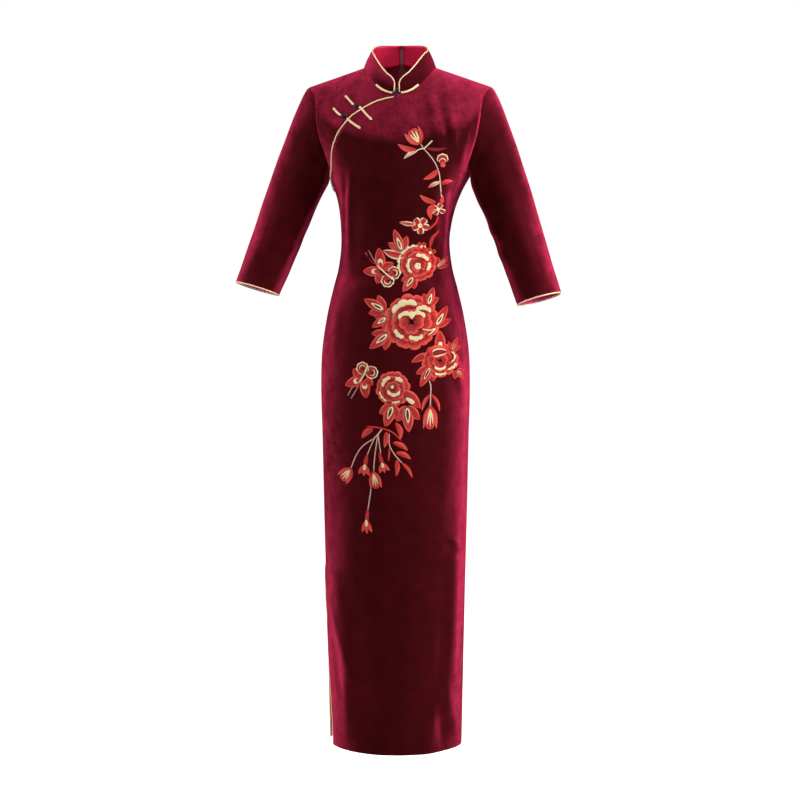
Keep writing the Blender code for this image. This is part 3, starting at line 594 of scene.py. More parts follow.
BIAS = 0.785                    # radians: threads that run across the cloth's length
# Where the velvet's painted sheen (by how far the surface turns from view) and its painted top
# light (by how far it faces upward) begin, how fast they grow, and the most top light
TURNED_START, TURNED_GAIN = 0.18, 2.4
UPWARD_START, UPWARD_GAIN, UPWARD_MOST = 0.17, 3.6, 0.52


def velvet_material(name, lift=1.0, top_light_share=1.0):
    """Short dense pile: nearly black face on, with a bright red sheen painted into its colour
    where it turns away from view, and light painted in where it faces upward, as if lit from
    above.
    A low lift turns down the painted sheen, for pile that has been pressed flat. The last
    argument is how much of the painted top light is added where the cloth faces upward."""
    values = settings()
    paint = Paint(name, Roughness=0.9, Sheen_Weight=values.velvet_sheen, Sheen_Roughness=0.3)
    paint.set("Sheen Tint", tuple(values.velvet_glow))
    paint.set("Specular IOR Level", 0.03)
    brushed = paint.noise(9.0, 4.0, (1.0, 1.0, 0.3))
    mottled = paint.noise(42.0, 4.0)
    flecks = paint.noise(170.0, 2.0)
    pile = paint.noise(1500.0, 1.0)
    share = ((brushed - 0.5) * 1.6 + (mottled - 0.5) * 1.0 + (pile - 0.5) * 0.6 + 0.4).clamped()
    dark = paint.mix(share, tuple(values.velvet_dark), tuple(values.velvet_light))
    # Painted sheen and painted top light: the colour is lightened towards the sheen colour where
    # the surface turns from view and where it faces upward, mottled by the pile noise.
    turned = Number(paint, paint.node("ShaderNodeLayerWeight", None, {"Blend": 0.5}).outputs[1])
    sheen_mottling = (brushed - 0.5) * 1.3 + (mottled - 0.5) * 0.9 + (flecks - 0.5) * 0.7 + 0.66
    lean = paint.node("ShaderNodeSeparateXYZ", None, {
        "Vector": paint.node("ShaderNodeTexCoord").outputs["Normal"]})
    painted_top_light = (Number(paint, lean.outputs[2]) - UPWARD_START) * UPWARD_GAIN
    glow = (((turned - TURNED_START) * TURNED_GAIN).clamped() ** 1.3
            + painted_top_light.clamped(0.0, UPWARD_MOST) * top_light_share)
    sheen = (glow * sheen_mottling.clamped(0.08, 1.3) * lift).clamped()
    paint.set("Base Color", paint.mix(sheen, dark, tuple(values.velvet_painted_sheen)))
    soft = paint.bump(mottled, 0.001, 0.5)
    paint.set("Normal", paint.bump(pile, 0.0001, 0.25, soft))
    return paint.material


def satin_material(name, colour, bright, roughness=0.36, sheen=0.25, gloss=0.5):
    """Cord of satin: slanting threads with a soft gloss."""
    paint = Paint(name, Sheen_Weight=sheen, Sheen_Roughness=0.4)
    paint.set("Specular IOR Level", gloss)
    lines = paint.threads(420.0, (0.0, BIAS, 0.4))
    slow = paint.noise(60.0, 2.0)
    # The lighter colour along the threads and in slow patches is a painted highlight of the
    # satin's shine.
    paint.set("Base Color", paint.mix((lines * 0.35 + slow * 0.5).clamped(), colour, bright))
    paint.set("Roughness", roughness + (slow - 0.5) * 0.12)
    paint.set("Normal", paint.bump(lines, 0.00012, 0.5))
    return paint.material


def lining_material(name, colour, bright):
    paint = Paint(name)
    paint.set("Specular IOR Level", 0.25)
    weave = paint.threads(500.0, (0.0, BIAS, 0.0), 0.2)
    slow = paint.noise(14.0, 3.0, (1.0, 1.0, 0.4))
    paint.set("Base Color", paint.mix((slow * 0.9 + weave * 0.15).clamped(), colour, bright))
    paint.set("Roughness", 0.46 + (slow - 0.5) * 0.15)
    paint.set("Normal", paint.bump(slow, 0.002, 0.35, paint.bump(weave, 0.0001, 0.4)))
    return paint.material


def tape_material(name, colour, bright):
    paint = Paint(name, Roughness=0.75, Sheen_Weight=0.3)
    ribs = paint.threads(330.0, (0.0, 1.571, 0.0), 0.0)
    weft = paint.threads(260.0, (0.0, 0.0, 0.0), 0.0)
    share = (ribs * 0.5 + weft * 0.4).clamped()
    paint.set("Base Color", paint.mix(share, colour, bright))
    paint.set("Normal", paint.bump(share, 0.0002, 0.7))
    return paint.material


def painted_metal_material(name, colour, worn):
    paint = Paint(name, Metallic=0.35, Coat_Weight=0.5, Coat_Roughness=0.15)
    grime = paint.noise(700.0, 3.0)
    paint.set("Base Color", paint.mix((grime * 1.4 - 0.4).clamped(), colour, worn))
    paint.set("Roughness", 0.28 + grime * 0.15)
    paint.set("Normal", paint.bump(grime, 0.00005, 0.4))
    return paint.material


def thread_material(name):
    """Silk floss: fine parallel threads along each stitched shape, with a soft gloss."""
    paint = Paint(name)
    paint.set("Specular IOR Level", 0.22)
    colour = paint.node("ShaderNodeVertexColor", {"layer_name": "thread_colour"}).outputs[0]
    lay = paint.node("ShaderNodeUVMap", {"uv_map": "stitches"}).outputs[0]
    waves = paint.node("ShaderNodeTexWave", {"wave_type": "BANDS", "bands_direction": "X"}, {
        "Vector": lay, "Scale": 520.0, "Distortion": 1.2, "Detail": 1.0})
    threads = Number(paint, waves.outputs["Fac"])
    # The floss is darkened between the threads, a painted shade in the grooves, and at random
    # where it is uneven.
    shade = paint.node("ShaderNodeMix", {"data_type": "RGBA", "blend_type": "MULTIPLY"})
    uneven = paint.noise(650.0, 3.0)
    paint.feed(shade.inputs[0], ((1 - threads) * 0.45 + (uneven - 0.5) * 1.3 + 0.12).clamped())
    paint.feed(shade.inputs[6], colour)
    paint.feed(shade.inputs[7], (0.34, 0.24, 0.22))
    paint.set("Base Color", shade.outputs[2])
    paint.set("Roughness", 0.5 - threads * 0.14)
    paint.set("Normal", paint.bump(threads + uneven * 0.8, 0.00025, 0.8))
    return paint.material


# ---- settings
def colour_setting(name, description, default):
    return bpy.props.FloatVectorProperty(name=name, description=description, subtype="COLOR",
                                         size=3, min=0.0, max=1.0, default=default)


class CHEONGSAM_PG_settings(bpy.types.PropertyGroup):
    velvet_dark: colour_setting("Velvet, face on", "Pile seen end on", (0.028, 0.0012, 0.002))
    velvet_light: colour_setting("Velvet, brushed", "Pile laid over", (0.062, 0.0022, 0.0044))
    # The colour painted into the pile as sheen where it turns away from view, and as light where
    # it faces upward
    velvet_painted_sheen: colour_setting(
        "Velvet, turned away", "Sides of the pile", (0.4, 0.019, 0.06))
    velvet_glow: colour_setting("Velvet glow", "Tint of the light at a glance", (1.0, 0.04, 0.15))
    velvet_sheen: bpy.props.FloatProperty(
        name="Velvet sheen", description="Strength of the glow at a glance",
        subtype="FACTOR", min=0.0, max=1.0, default=0.2)
    gold: colour_setting("Piping gold", "Satin of the piping and frogs", (0.7, 0.45, 0.22))
    gold_bright: colour_setting("Piping highlight", "Where the satin shines", (0.95, 0.73, 0.45))
    grid_step: bpy.props.FloatProperty(
        name="Cloth grid", description="Spacing of the rows in the cloth", subtype="DISTANCE",
        unit="LENGTH", min=0.002, max=0.02, default=0.0055)
    piping_radius: bpy.props.FloatProperty(
        name="Piping radius", description="Radius of the corded piping", subtype="DISTANCE",
        unit="LENGTH", min=0.0008, max=0.003, default=0.0013)
    lamp_watts: bpy.props.FloatProperty(
        name="Lamps", description="Power of the studio lamps", subtype="POWER", unit="POWER",
        min=0.0, max=500.0, default=60.0)
    air_strength: bpy.props.FloatProperty(
        name="White surround", description="Strength of the white studio surround",
        min=0.0, max=5.0, default=0.14)


def settings():
    return bpy.context.scene.cheongsam


MATERIALS = {}


def material(key):
    """Each finish is made once, when the first piece needs it."""
    if key in MATERIALS:
        return MATERIALS[key]
    values = settings()
    maker, *details = {
        "velvet": (velvet_material, "burgundy_velvet_pile"),
        # The sleeves get little of the painted top light; the pressed velvet of the collar's left
        # half gets little of the painted sheen and half the painted top light.
        "sleeve_velvet": (velvet_material, "sleeve_velvet_pile", 1.0, 0.15),
        "pressed_dim_sheen_velvet": (velvet_material, "pressed_velvet_pile", 0.2, 0.5),
        "body_lining": (lining_material, "burgundy_lining", (0.42, 0.02, 0.075),
                        (0.64, 0.045, 0.14)),
        "sleeve_lining": (lining_material, "magenta_lining", (0.42, 0.02, 0.09),
                          (0.7, 0.06, 0.19)),
        "collar_satin": (lining_material, "crimson_collar_satin", (0.6, 0.006, 0.045),
                         (0.85, 0.014, 0.09)),
        "gold": (satin_material, "gold_piping_satin", tuple(values.gold),
                 tuple(values.gold_bright)),
        "knot": (satin_material, "plum_knot_cord", (0.02, 0.003, 0.011), (0.05, 0.008, 0.03),
                 0.3, 0.0, 0.2),
        "loop": (satin_material, "purple_loop_cord", (0.05, 0.004, 0.03), (0.15, 0.016, 0.09),
                 0.35, 0.0, 0.25),
        "tape": (tape_material, "mauve_zip_tape", (0.42, 0.08, 0.12), (0.56, 0.15, 0.2)),
        "coil": (tape_material, "mauve_zip_coil", (0.3, 0.07, 0.1), (0.48, 0.15, 0.19)),
        "metal": (painted_metal_material, "red_zip_metal", (0.18, 0.01, 0.028),
                  (0.3, 0.06, 0.07)),
        "thread": (thread_material, "embroidery_thread"),
    }[key]
    MATERIALS[key] = maker(*details)
    return MATERIALS[key]


class CheongsamStep(bpy.types.Operator):
    """What every operator here shares"""

    bl_options = {"REGISTER", "UNDO"}

    def execute(self, context):
        self.build()
        return {"FINISHED"}


# ---- body panels
def slit_share(level):
    return np.maximum(0.0, (SLIT_LEVEL - level) / (SLIT_LEVEL - HEM_LEVEL))


def slit_front_angle(level):
    return math.pi - SLIT_SWING * np.sin(math.pi / 2 * slit_share(level) ** 1.15)


def slit_back_angle(level):
    return math.pi - math.radians(3) * slit_share(level)


def skirt_levels():
    """Levels of the rows below the placket, closer together at the hem."""
    plain = HEM_LEVEL + HEM_TURN
    count = int((PLACKET_END_LEVEL - HEM_LEVEL - HEM_TURN) / settings().grid_step)
    hem = HEM_LEVEL + np.array([0.0, 0.0012, 0.003])
    return np.concatenate([hem, np.linspace(plain, PLACKET_END_LEVEL, count)])


def row(angles, level):
    return stacked(angles, level)


def build_front_panel():
    neck_columns, shoulder_columns = 40, 16
    half_pi = math.pi / 2
    grid = []
    for level in skirt_levels():
        right_half = np.linspace(slit_front_angle(level), half_pi, ROWS)[:-1]
        left_half = np.linspace(half_pi, 0.0, neck_columns + shoulder_columns + 1)
        grid.append(row(np.concatenate([right_half, left_half]), level))
    right = outer_edge(-1)
    top_level = shoulder_level(SHOULDER_TIP)
    share = (right[1] - PLACKET_END_LEVEL) / (top_level - PLACKET_END_LEVEL)
    top_neck = neck(-1, np.linspace(half_pi, 0, neck_columns + 1))
    top_shoulder = shoulder(np.linspace(0, 1, shoulder_columns + 1)[1:])
    top = tuple(np.concatenate(pair) for pair in zip(top_neck, top_shoulder))
    rise = top[1][0] - PLACKET_END_LEVEL
    centre = (np.full(len(share), half_pi), PLACKET_END_LEVEL + rise * share)
    last = grid[-1][ROWS - 1:]
    left_half = patch((last[:, 0], last[:, 1]), top, centre, right, share)
    edge = placket(np.linspace(0, 1, ROWS))
    for r in range(1, ROWS):
        count = ROWS - 1 - r
        f = (np.arange(count) / max(count, 1))[:, None]
        start, end = np.array([edge[0][r], edge[1][r]]), np.array([centre[0][r], centre[1][r]])
        grid.append(np.concatenate([start + (end - start) * f, left_half[r]]))
    return cloth_panel("front_panel_velvet", -1, grid,
                       [material("velvet"), material("body_lining")])


def build_front_yoke():
    """Lines from the placket run across to the armhole and then to the shoulder seam, and the
    last one follows the neck."""
    arm, whole, columns = 8, 12, 26
    index = np.concatenate([np.linspace(0, 1, 9)[:-1], np.linspace(1, whole, 56)])
    index[np.argmin(np.abs(index - arm))] = arm
    low = placket(np.interp(index, np.arange(whole + 1), YOKE_STATIONS) / 9)
    at_arm = armhole(-1, np.minimum(index / arm, 1), -1)
    at_shoulder = shoulder(np.clip(1 - (index - arm) / (whole - arm), 0, 1), -1)
    high = [np.where(index <= arm, a, b) for a, b in zip(at_arm, at_shoulder)]
    v = np.linspace(0, 1, columns)[:, None]
    neck_edge = np.stack(neck(-1, math.pi / 2 * (1 + v[:, 0])), axis=-1)
    low, high = np.stack(low, axis=-1), np.stack(high, axis=-1)
    chord = low[-1] * (1 - v) + high[-1] * v
    bend = np.maximum(0, (index - arm) / (whole - arm)) ** 1.5
    grid = [low[i] * (1 - v) + high[i] * v + bend[i] * (neck_edge - chord)
            for i in range(len(index))]
    return cloth_panel("front_yoke_velvet", -1, grid,
                       [material("velvet"), material("body_lining")],
                       (YOKE_SHIFT, 0.0, -YOKE_SHIFT))


def build_back_panel(hand):
    half_pi = math.pi / 2
    neck_columns, shoulder_columns = 24, 16
    centre = half_pi + hand * CENTRE_BACK_OVERLAP
    grid = []
    for level in skirt_levels():
        edge = 0.0 if hand > 0 else slit_back_angle(level)
        grid.append(row(np.linspace(centre, edge, neck_columns + shoulder_columns + 1), level))
    turns = np.linspace(half_pi + CENTRE_BACK_OVERLAP, 0, neck_columns + 1)
    top_neck = neck(1, turns if hand > 0 else math.pi - turns)
    top_shoulder = shoulder(np.linspace(0, 1, shoulder_columns + 1)[1:], hand)
    top = tuple(np.concatenate(pair) for pair in zip(top_neck, top_shoulder))
    right = outer_edge(1, hand)
    share = ((right[1] - PLACKET_END_LEVEL)
             / (shoulder_level(SHOULDER_TIP) - PLACKET_END_LEVEL))
    left = (centre + (top[0][0] - centre) * share,
            PLACKET_END_LEVEL + (top[1][0] - PLACKET_END_LEVEL) * share)
    grid += patch((grid[-1][:, 0], grid[-1][:, 1]), top, left, right, share)[1:]
    side = "left" if hand > 0 else "right"
    return cloth_panel(f"back_panel_velvet_{side}", 1, grid,
                       [material("velvet"), material("body_lining")])


class CHEONGSAM_OT_front(CheongsamStep):
    """Cut the front and the under-front of the right shoulder"""

    bl_idname = "cheongsam.front"
    bl_label = "Front panels"

    def build(self):
        front = keep(build_front_panel(), "burgundy_velvet", "front_panel")
        yoke = keep(build_front_yoke(), "burgundy_velvet", "front_yoke_right")


class CHEONGSAM_OT_back(CheongsamStep):
    """Cut the two halves of the back"""

    bl_idname = "cheongsam.back"
    bl_label = "Back panels"

    def build(self):
        for hand, side in HANDS:
            half = keep(build_back_panel(hand), "burgundy_velvet", f"back_panel_{side}")


# ---- sleeves
def cuff_frame(hand):
    lift = RIGHT_SLEEVE_LIFT * -hand
    centre = np.array([hand * CUFF_OUT, -CUFF_FORWARD, CUFF_LEVEL + lift])
    outward_way = np.array([hand * math.cos(CUFF_SLANT), 0.0, math.sin(CUFF_SLANT)])
    hang = np.array([hand * math.sin(CUFF_SLANT), 0.0, -math.cos(CUFF_SLANT)])
    ahead = np.array([0.0, -1.0, 0.0])
    down = hang * math.cos(CUFF_SWING) + ahead * math.sin(CUFF_SWING)
    forward = ahead * math.cos(CUFF_SWING) - hang * math.sin(CUFF_SWING)
    return centre, outward_way, forward, down


def plain_sleeve(hand, turn, s):
    turn = np.mod(turn, 2 * np.pi)
    front = body(-1, *armhole(-1, np.minimum(turn / np.pi, 1), hand))
    back = body(1, *armhole(1, np.clip(2 - turn / np.pi, 0, 1), hand))
    start = np.where((turn <= np.pi)[..., None], front, back)
    start = start + np.array([hand * 2 * SEAM_SHOWN, 0.0, 0.0])
    centre, outward_way, forward, _ = cuff_frame(hand)
    end = (centre - outward_way * (CUFF_HALF_WIDTH * np.cos(turn))[..., None]
           + forward * (CUFF_HALF_DEPTH * np.sin(turn))[..., None])
    s = np.broadcast_to(np.asarray(s, float), turn.shape)
    points = start + (end - start) * s[..., None]
    points[..., 1] += CUFF_FORWARD * (s - s**1.6)
    head = SLEEVE_HEAD * np.maximum(0, -np.cos(turn)) * np.sin(np.pi * s**0.45)
    return points + np.array(SLEEVE_HEAD_WAY) * (hand, 1.0, 1.0) * head[..., None]


def sleeve_normal(hand, turn, s):
    d = 1e-3
    s = np.broadcast_to(np.asarray(s, float), np.shape(turn))
    across = plain_sleeve(hand, turn + d, s) - plain_sleeve(hand, turn - d, s)
    down = (plain_sleeve(hand, turn, np.minimum(s + d, 1))
            - plain_sleeve(hand, turn, np.maximum(s - d, 0)))
    return unit(np.cross(down, across) * hand)


def sleeve_lift(hand, turn, s):
    """Height of the sleeve's folds; they fade out at the armhole."""
    total = np.zeros(np.broadcast(turn, s).shape)
    degrees = np.degrees(turn)
    for a0, s0, a1, s1, half, height in SLEEVE_FOLDS:
        run, rise = (a1 - a0) / 180 * 0.6, s1 - s0
        near = (degrees - a0 + 180) % 360 - 180
        dx, dy = near / 180 * 0.6, s - s0
        t = np.clip((dx * run + dy * rise) / (run * run + rise * rise), 0, 1)
        away = np.hypot(dx - t * run, dy - t * rise)
        total += height * np.exp(-((away / half) ** 2)) * (0.3 + 0.7 * np.sin(np.pi * t))
    total += 0.0004 * np.sin(3 * turn + 11 * s + hand) * np.sin(17 * s + turn)
    return total * ease(s / 0.1) * (1 - 0.6 * ease((s - 0.9) / 0.1))


def build_sleeve(hand):
    turns = np.linspace(0, 2 * np.pi, 65)[:-1]
    stations = np.concatenate([[0.0, 0.004, 0.012, 0.024], np.linspace(0.04, 0.985, 70),
                               [0.993, 0.998, 1.0]])
    outer, inner = [], []
    for s in stations:
        points = plain_sleeve(hand, turns, s)
        normals = sleeve_normal(hand, turns, s)
        if s == 0.0:
            base = points - np.array([hand * 2 * SEAM_SHOWN, 0.0, 0.0])
            mitre = np.where((turns <= np.pi)[:, None], body_normal(-1, base),
                             body_normal(1, base))
            weight = ease(0.5 - 0.5 * np.cos(turns))[:, None]
            normals = unit(normals * (1 - weight) + mitre * weight)
        # The armhole seam is pressed into a shallow groove.
        fade = ARMHOLE_GROOVE * np.exp(-((s / ARMHOLE_GROOVE_SPAN) ** 2))
        groove = -fade if s > 0 else -ARMHOLE_GROOVE_AT_SEAM
        lifted = points + normals * (sleeve_lift(hand, turns, s) + groove)[:, None]
        outer.append(lifted)
        inner.append(lifted - normals * (CLOTH + groove))
    side = "left" if hand > 0 else "right"
    return wall(f"sleeve_velvet_{side}", outer, inner,
                [material("sleeve_velvet"), material("sleeve_lining")], ring=True)


class CHEONGSAM_OT_sleeves(CheongsamStep):
    """Set in the two sleeves"""

    bl_idname = "cheongsam.sleeves"
    bl_label = "Sleeves"

    def build(self):
        for hand, side in HANDS:
            sleeve = keep(build_sleeve(hand), "burgundy_velvet", f"sleeve_{side}")


# ---- collar
def collar(turn, height):
    turn, height = np.broadcast_arrays(np.asarray(turn, float), np.asarray(height, float))
    lean = np.abs(np.sin(turn))
    front = body(-1, *neck(-1, np.arccos(np.cos(turn))))
    back = body(1, *neck(1, np.arccos(np.cos(turn))))
    is_front = (np.sin(turn) >= 0)[..., None]
    base = np.where(is_front, front, back) + np.array([0.0, 0.0, 2 * SEAM_SHOWN])
    x = COLLAR_TOP_HALF_WIDTH * np.cos(turn)
    front_top = stacked(x, -COLLAR_TOP_FRONT * lean, COLLAR_SIDE_TOP
                        + (COLLAR_FRONT_TOP - COLLAR_SIDE_TOP) * lean**COLLAR_DIP)
    back_top = stacked(x, COLLAR_TOP_BACK * lean, COLLAR_SIDE_TOP
                       + (COLLAR_BACK_TOP - COLLAR_SIDE_TOP)
                       * (1 - (1 - lean) ** COLLAR_DIP))
    top = np.where(is_front, front_top, back_top)
    return base + (top - base) * height[..., None]


def collar_normal(turn, height):
    d = 1e-3
    height = np.clip(height, 0, 1)
    across = collar(turn + d, height) - collar(turn - d, height)
    up = collar(turn, np.minimum(height + d, 1)) - collar(turn, np.maximum(height - d, 0))
    return unit(np.cross(across, up)) * -1


def collar_layer(turn, height, depth):
    height = np.broadcast_to(np.asarray(height, float), np.shape(turn))
    bow = COLLAR_BOW * np.sin(np.pi * height)
    return collar(turn, height) - collar_normal(turn, height) * (depth - bow)[..., None]


def collar_height(distance):
    inset = np.maximum(0.0, COLLAR_CORNER - distance)
    return 1 - (COLLAR_CORNER - np.sqrt(COLLAR_CORNER**2 - inset**2)) / COLLAR_STAND


def collar_turns(back_gap):
    front = math.pi / 2 - COLLAR_FRONT_GAP / NECK_HALF_WIDTH
    near = np.array([0, 0.2, 0.6, 1.2, 2.0, 3.0, 4.2, 5.6, 7.2, 9.0, 11.0, 13.0]) / 1000
    rest = np.linspace(front - 0.016 / NECK_HALF_WIDTH, 0, 34)
    back = np.linspace(0, -math.pi / 2 + back_gap / NECK_HALF_WIDTH, 34)[1:]
    return np.concatenate([front - near / NECK_HALF_WIDTH, rest, back])


def hand_turn(turn, hand):
    return turn if hand > 0 else math.pi - turn


def build_collar_layer(name, hand, back_gap, near, far, key):
    turns = collar_turns(back_gap)
    top = collar_height((turns[0] - turns) * NECK_HALF_WIDTH)
    lowest = -LINING_TUCK if key == "collar_satin" else 0.0
    facing = hand_turn(turns, hand)
    outer, inner = [], []
    for share in np.linspace(lowest, 1, 12):
        outer.append(collar_layer(facing, share * top, near))
        inner.append(collar_layer(facing, share * top, far))
    return wall(name, outer, inner, [material(key)])


class CHEONGSAM_OT_collar(CheongsamStep):
    """Stand up the collar and its satin lining"""

    bl_idname = "cheongsam.collar"
    bl_label = "Collar"

    def build(self):
        start = COLLAR_CLOTH + SEAM
        for hand, side in HANDS:
            # The wearer's left half of the collar has its painted sheen turned down, as pressed
            # pile.
            pile = "pressed_dim_sheen_velvet" if hand > 0 else "velvet"
            outer = build_collar_layer(f"collar_velvet_{side}", hand, -COLLAR_BACK_OVERLAP,
                                       0.0, COLLAR_CLOTH, pile)
            keep(outer, "burgundy_velvet", f"collar_{side}")
            lining = build_collar_layer(f"collar_satin_{side}", hand, LINING_BACK_GAP,
                                        start, start + LINING_CLOTH, "collar_satin")
            keep(lining, "crimson_satin", f"collar_lining_{side}")


# ---- piping and cords
def tree_with(name, sockets):
    """A Geometry Nodes group with a geometry input and output and the named inputs."""
    tree = bpy.data.node_groups.new(name, "GeometryNodeTree")
    tree.interface.new_socket("Geometry", in_out="INPUT", socket_type="NodeSocketGeometry")
    for label, kind, default in sockets:
        socket = tree.interface.new_socket(label, in_out="INPUT", socket_type=kind)
        if default is not None:
            socket.default_value = default
    tree.interface.new_socket("Geometry", in_out="OUTPUT", socket_type="NodeSocketGeometry")
    return tree, tree.nodes.new("NodeGroupInput"), tree.nodes.new("NodeGroupOutput")


def chain_nodes(tree, start, steps):
    """Adds nodes in a row, each fed by the one before. A step is a type, input values keyed by
    name and the settings of the node. Returns the last output."""
    flow = start
    for kind, inputs, options in steps:
        node = tree.nodes.new(kind)
        for key, value in options.items():
            setattr(node, key, value)
        tree.links.new(flow, node.inputs[0])
        for key, value in inputs.items():
            if isinstance(value, bpy.types.NodeSocket):
                tree.links.new(value, node.inputs[key])
            else:
                node.inputs[key].default_value = value
        flow = node.outputs[0]
    return flow


def cord_tree():
    """Sweeps a round cord along a path of edges."""
    tree, start, end = tree_with("piping_cord", (
        ("Radius", "NodeSocketFloat", 0.0016), ("Spacing", "NodeSocketFloat", 0.002),
        ("Sides", "NodeSocketInt", 12), ("Material", "NodeSocketMaterial", None)))
    profile = tree.nodes.new("GeometryNodeCurvePrimitiveCircle")
    tree.links.new(start.outputs["Radius"], profile.inputs["Radius"])
    tree.links.new(start.outputs["Sides"], profile.inputs["Resolution"])
    flow = chain_nodes(tree, start.outputs["Geometry"], (
        ("GeometryNodeMeshToCurve", {}, {}),
        ("GeometryNodeResampleCurve", {"Length": start.outputs["Spacing"]}, {"mode": "LENGTH"}),
        ("GeometryNodeCurveToMesh", {"Profile Curve": profile.outputs["Curve"],
                                     "Fill Caps": True}, {}),
        ("GeometryNodeSetShadeSmooth", {}, {}),
        ("GeometryNodeRealizeInstances", {}, {}),
        ("GeometryNodeSetMaterial", {"Material": start.outputs["Material"]}, {}),
    ))
    tree.links.new(flow, end.inputs["Geometry"])
    return tree


def teeth_tree():
    """Sets a small cylinder, lying along x, at even steps along a path."""
    tree, start, end = tree_with("zip_teeth", (
        ("Pitch", "NodeSocketFloat", 0.0012), ("Length", "NodeSocketFloat", 0.0021),
        ("Thickness", "NodeSocketFloat", 0.0009), ("Material", "NodeSocketMaterial", None)))
    tooth = tree.nodes.new("GeometryNodeMeshCylinder")
    tooth.inputs["Vertices"].default_value = 8
    half = tree.nodes.new("ShaderNodeMath")
    half.operation = "MULTIPLY"
    half.inputs[1].default_value = 0.5
    tree.links.new(start.outputs["Thickness"], half.inputs[0])
    tree.links.new(half.outputs[0], tooth.inputs["Radius"])
    tree.links.new(start.outputs["Length"], tooth.inputs["Depth"])
    turn = tree.nodes.new("GeometryNodeTransform")
    turn.inputs["Rotation"].default_value = (0.0, math.pi / 2, 0.0)
    tree.links.new(tooth.outputs["Mesh"], turn.inputs["Geometry"])
    flow = chain_nodes(tree, start.outputs["Geometry"], (
        ("GeometryNodeMeshToCurve", {}, {}),
        ("GeometryNodeResampleCurve", {"Length": start.outputs["Pitch"]}, {"mode": "LENGTH"}),
        ("GeometryNodeInstanceOnPoints", {"Instance": turn.outputs[0]}, {}),
        ("GeometryNodeRealizeInstances", {}, {}),
        ("GeometryNodeSetShadeSmooth", {}, {}),
        ("GeometryNodeSetMaterial", {"Material": start.outputs["Material"]}, {}),
    ))
    tree.links.new(flow, end.inputs["Geometry"])
    return tree


TREES = {}


def grown(name, points, tree_key, inputs, ring=False):
    """Runs a Geometry Nodes tree on a path of edges and keeps the plain mesh that it makes."""
    if tree_key not in TREES:
        TREES[tree_key] = {"cord": cord_tree, "teeth": teeth_tree}[tree_key]()
    tree = TREES[tree_key]
    count = len(points)
    edges = [(i, i + 1) for i in range(count - 1)] + ([(count - 1, 0)] if ring else [])
    path = bpy.data.meshes.new(name + "_path")
    path.from_pydata([tuple(p) for p in points], edges, [])
    guide = bpy.data.objects.new(name + "_path", path)
    bpy.context.scene.collection.objects.link(guide)
    modifier = guide.modifiers.new("grow", "NODES")
    modifier.node_group = tree
    for item in tree.interface.items_tree:
        if item.item_type == "SOCKET" and item.in_out == "INPUT" and item.name in inputs:
            modifier[item.identifier] = inputs[item.name]
    bpy.context.view_layer.update()
    graph = bpy.context.evaluated_depsgraph_get()
    mesh = bpy.data.meshes.new_from_object(guide.evaluated_get(graph))
    mesh.name = name
    bpy.data.objects.remove(guide)
    bpy.data.meshes.remove(path)
    joined = bmesh.new()
    joined.from_mesh(mesh)
    bmesh.ops.remove_doubles(joined, verts=joined.verts, dist=1e-6)
    bmesh.ops.recalc_face_normals(joined, faces=joined.faces)
    joined.to_mesh(mesh)
    joined.free()
    piece = bpy.data.objects.new(name, mesh)
    bpy.context.scene.collection.objects.link(piece)
    return piece


def cord(name, points, radius, key, ring=False, sides=12, spacing=0.002):
    return grown(name, points, "cord", {"Radius": radius, "Sides": sides, "Spacing": spacing,
                                        "Material": material(key)}, ring)


CORD_CLEAR = 0.0002
CORD_OFF_EDGE = 0.0003
CORD_ROLL_START = 0.004
CORD_ROLL_RUN = 0.022
CORD_ROLL_OUT = 0.0016
CORD_ROLL_DOWN = 0.0026
SLIT_CORD_TOPS = {-1: -1.03, 1: -1.095}
SLIT_CORD_ROLL_LEVEL = -1.1     # above it the front cord turns on to the face of the cloth
SLIT_CORD_ROLL_RUN = 0.055


def collar_piping_path(hand):
    middle = (COLLAR_CLOTH + SEAM + LINING_CLOTH) / 2
    clear = settings().piping_radius + CORD_CLEAR
    turns = collar_turns(LINING_BACK_GAP)
    top = collar_height((turns[0] - turns) * NECK_HALF_WIDTH)
    facing = hand_turn(turns, hand)
    edges = collar_layer(facing, top, middle)
    low = np.linspace(0.16, top[0] - 0.04, 8)
    front = collar_layer(np.full(len(low), facing[0]), low, middle)
    beyond = front - collar_layer(np.full(len(low), facing[1]), low, middle)
    points = list(front + unit(beyond) * clear)
    run = np.gradient(edges, axis=0)
    run[0] = unit(run[0]) * 0.6 + unit(edges[0] - front[-1])
    away = np.cross(run, collar_normal(facing, top)) * -hand
    points = np.array(points + list(edges + unit(away) * clear))
    # Round the back of the neck the cord rolls down over the outside of the collar.
    behind = np.clip((points[:, 1] - CORD_ROLL_START) / CORD_ROLL_RUN, 0, 1)[:, None]
    outside = points * (1.0, 1.0, 0.0)
    return points + behind * (unit(outside) * CORD_ROLL_OUT - np.array((0, 0, CORD_ROLL_DOWN)))


def placket_piping_path():
    angle, level = placket(np.linspace(0.0, 0.975, 140))
    return body(-1, angle, level, settings().piping_radius + SEAM)


def cuff_piping_path(hand):
    turns = np.linspace(0, 2 * np.pi, 97)[:-1]
    ends = np.ones(len(turns))
    down = cuff_frame(hand)[3]
    lift = sleeve_lift(hand, turns, ends)
    middle = plain_sleeve(hand, turns, ends)
    middle = middle + sleeve_normal(hand, turns, ends) * (lift - CLOTH / 2)[:, None]
    return middle + down * (settings().piping_radius + CORD_OFF_EDGE)


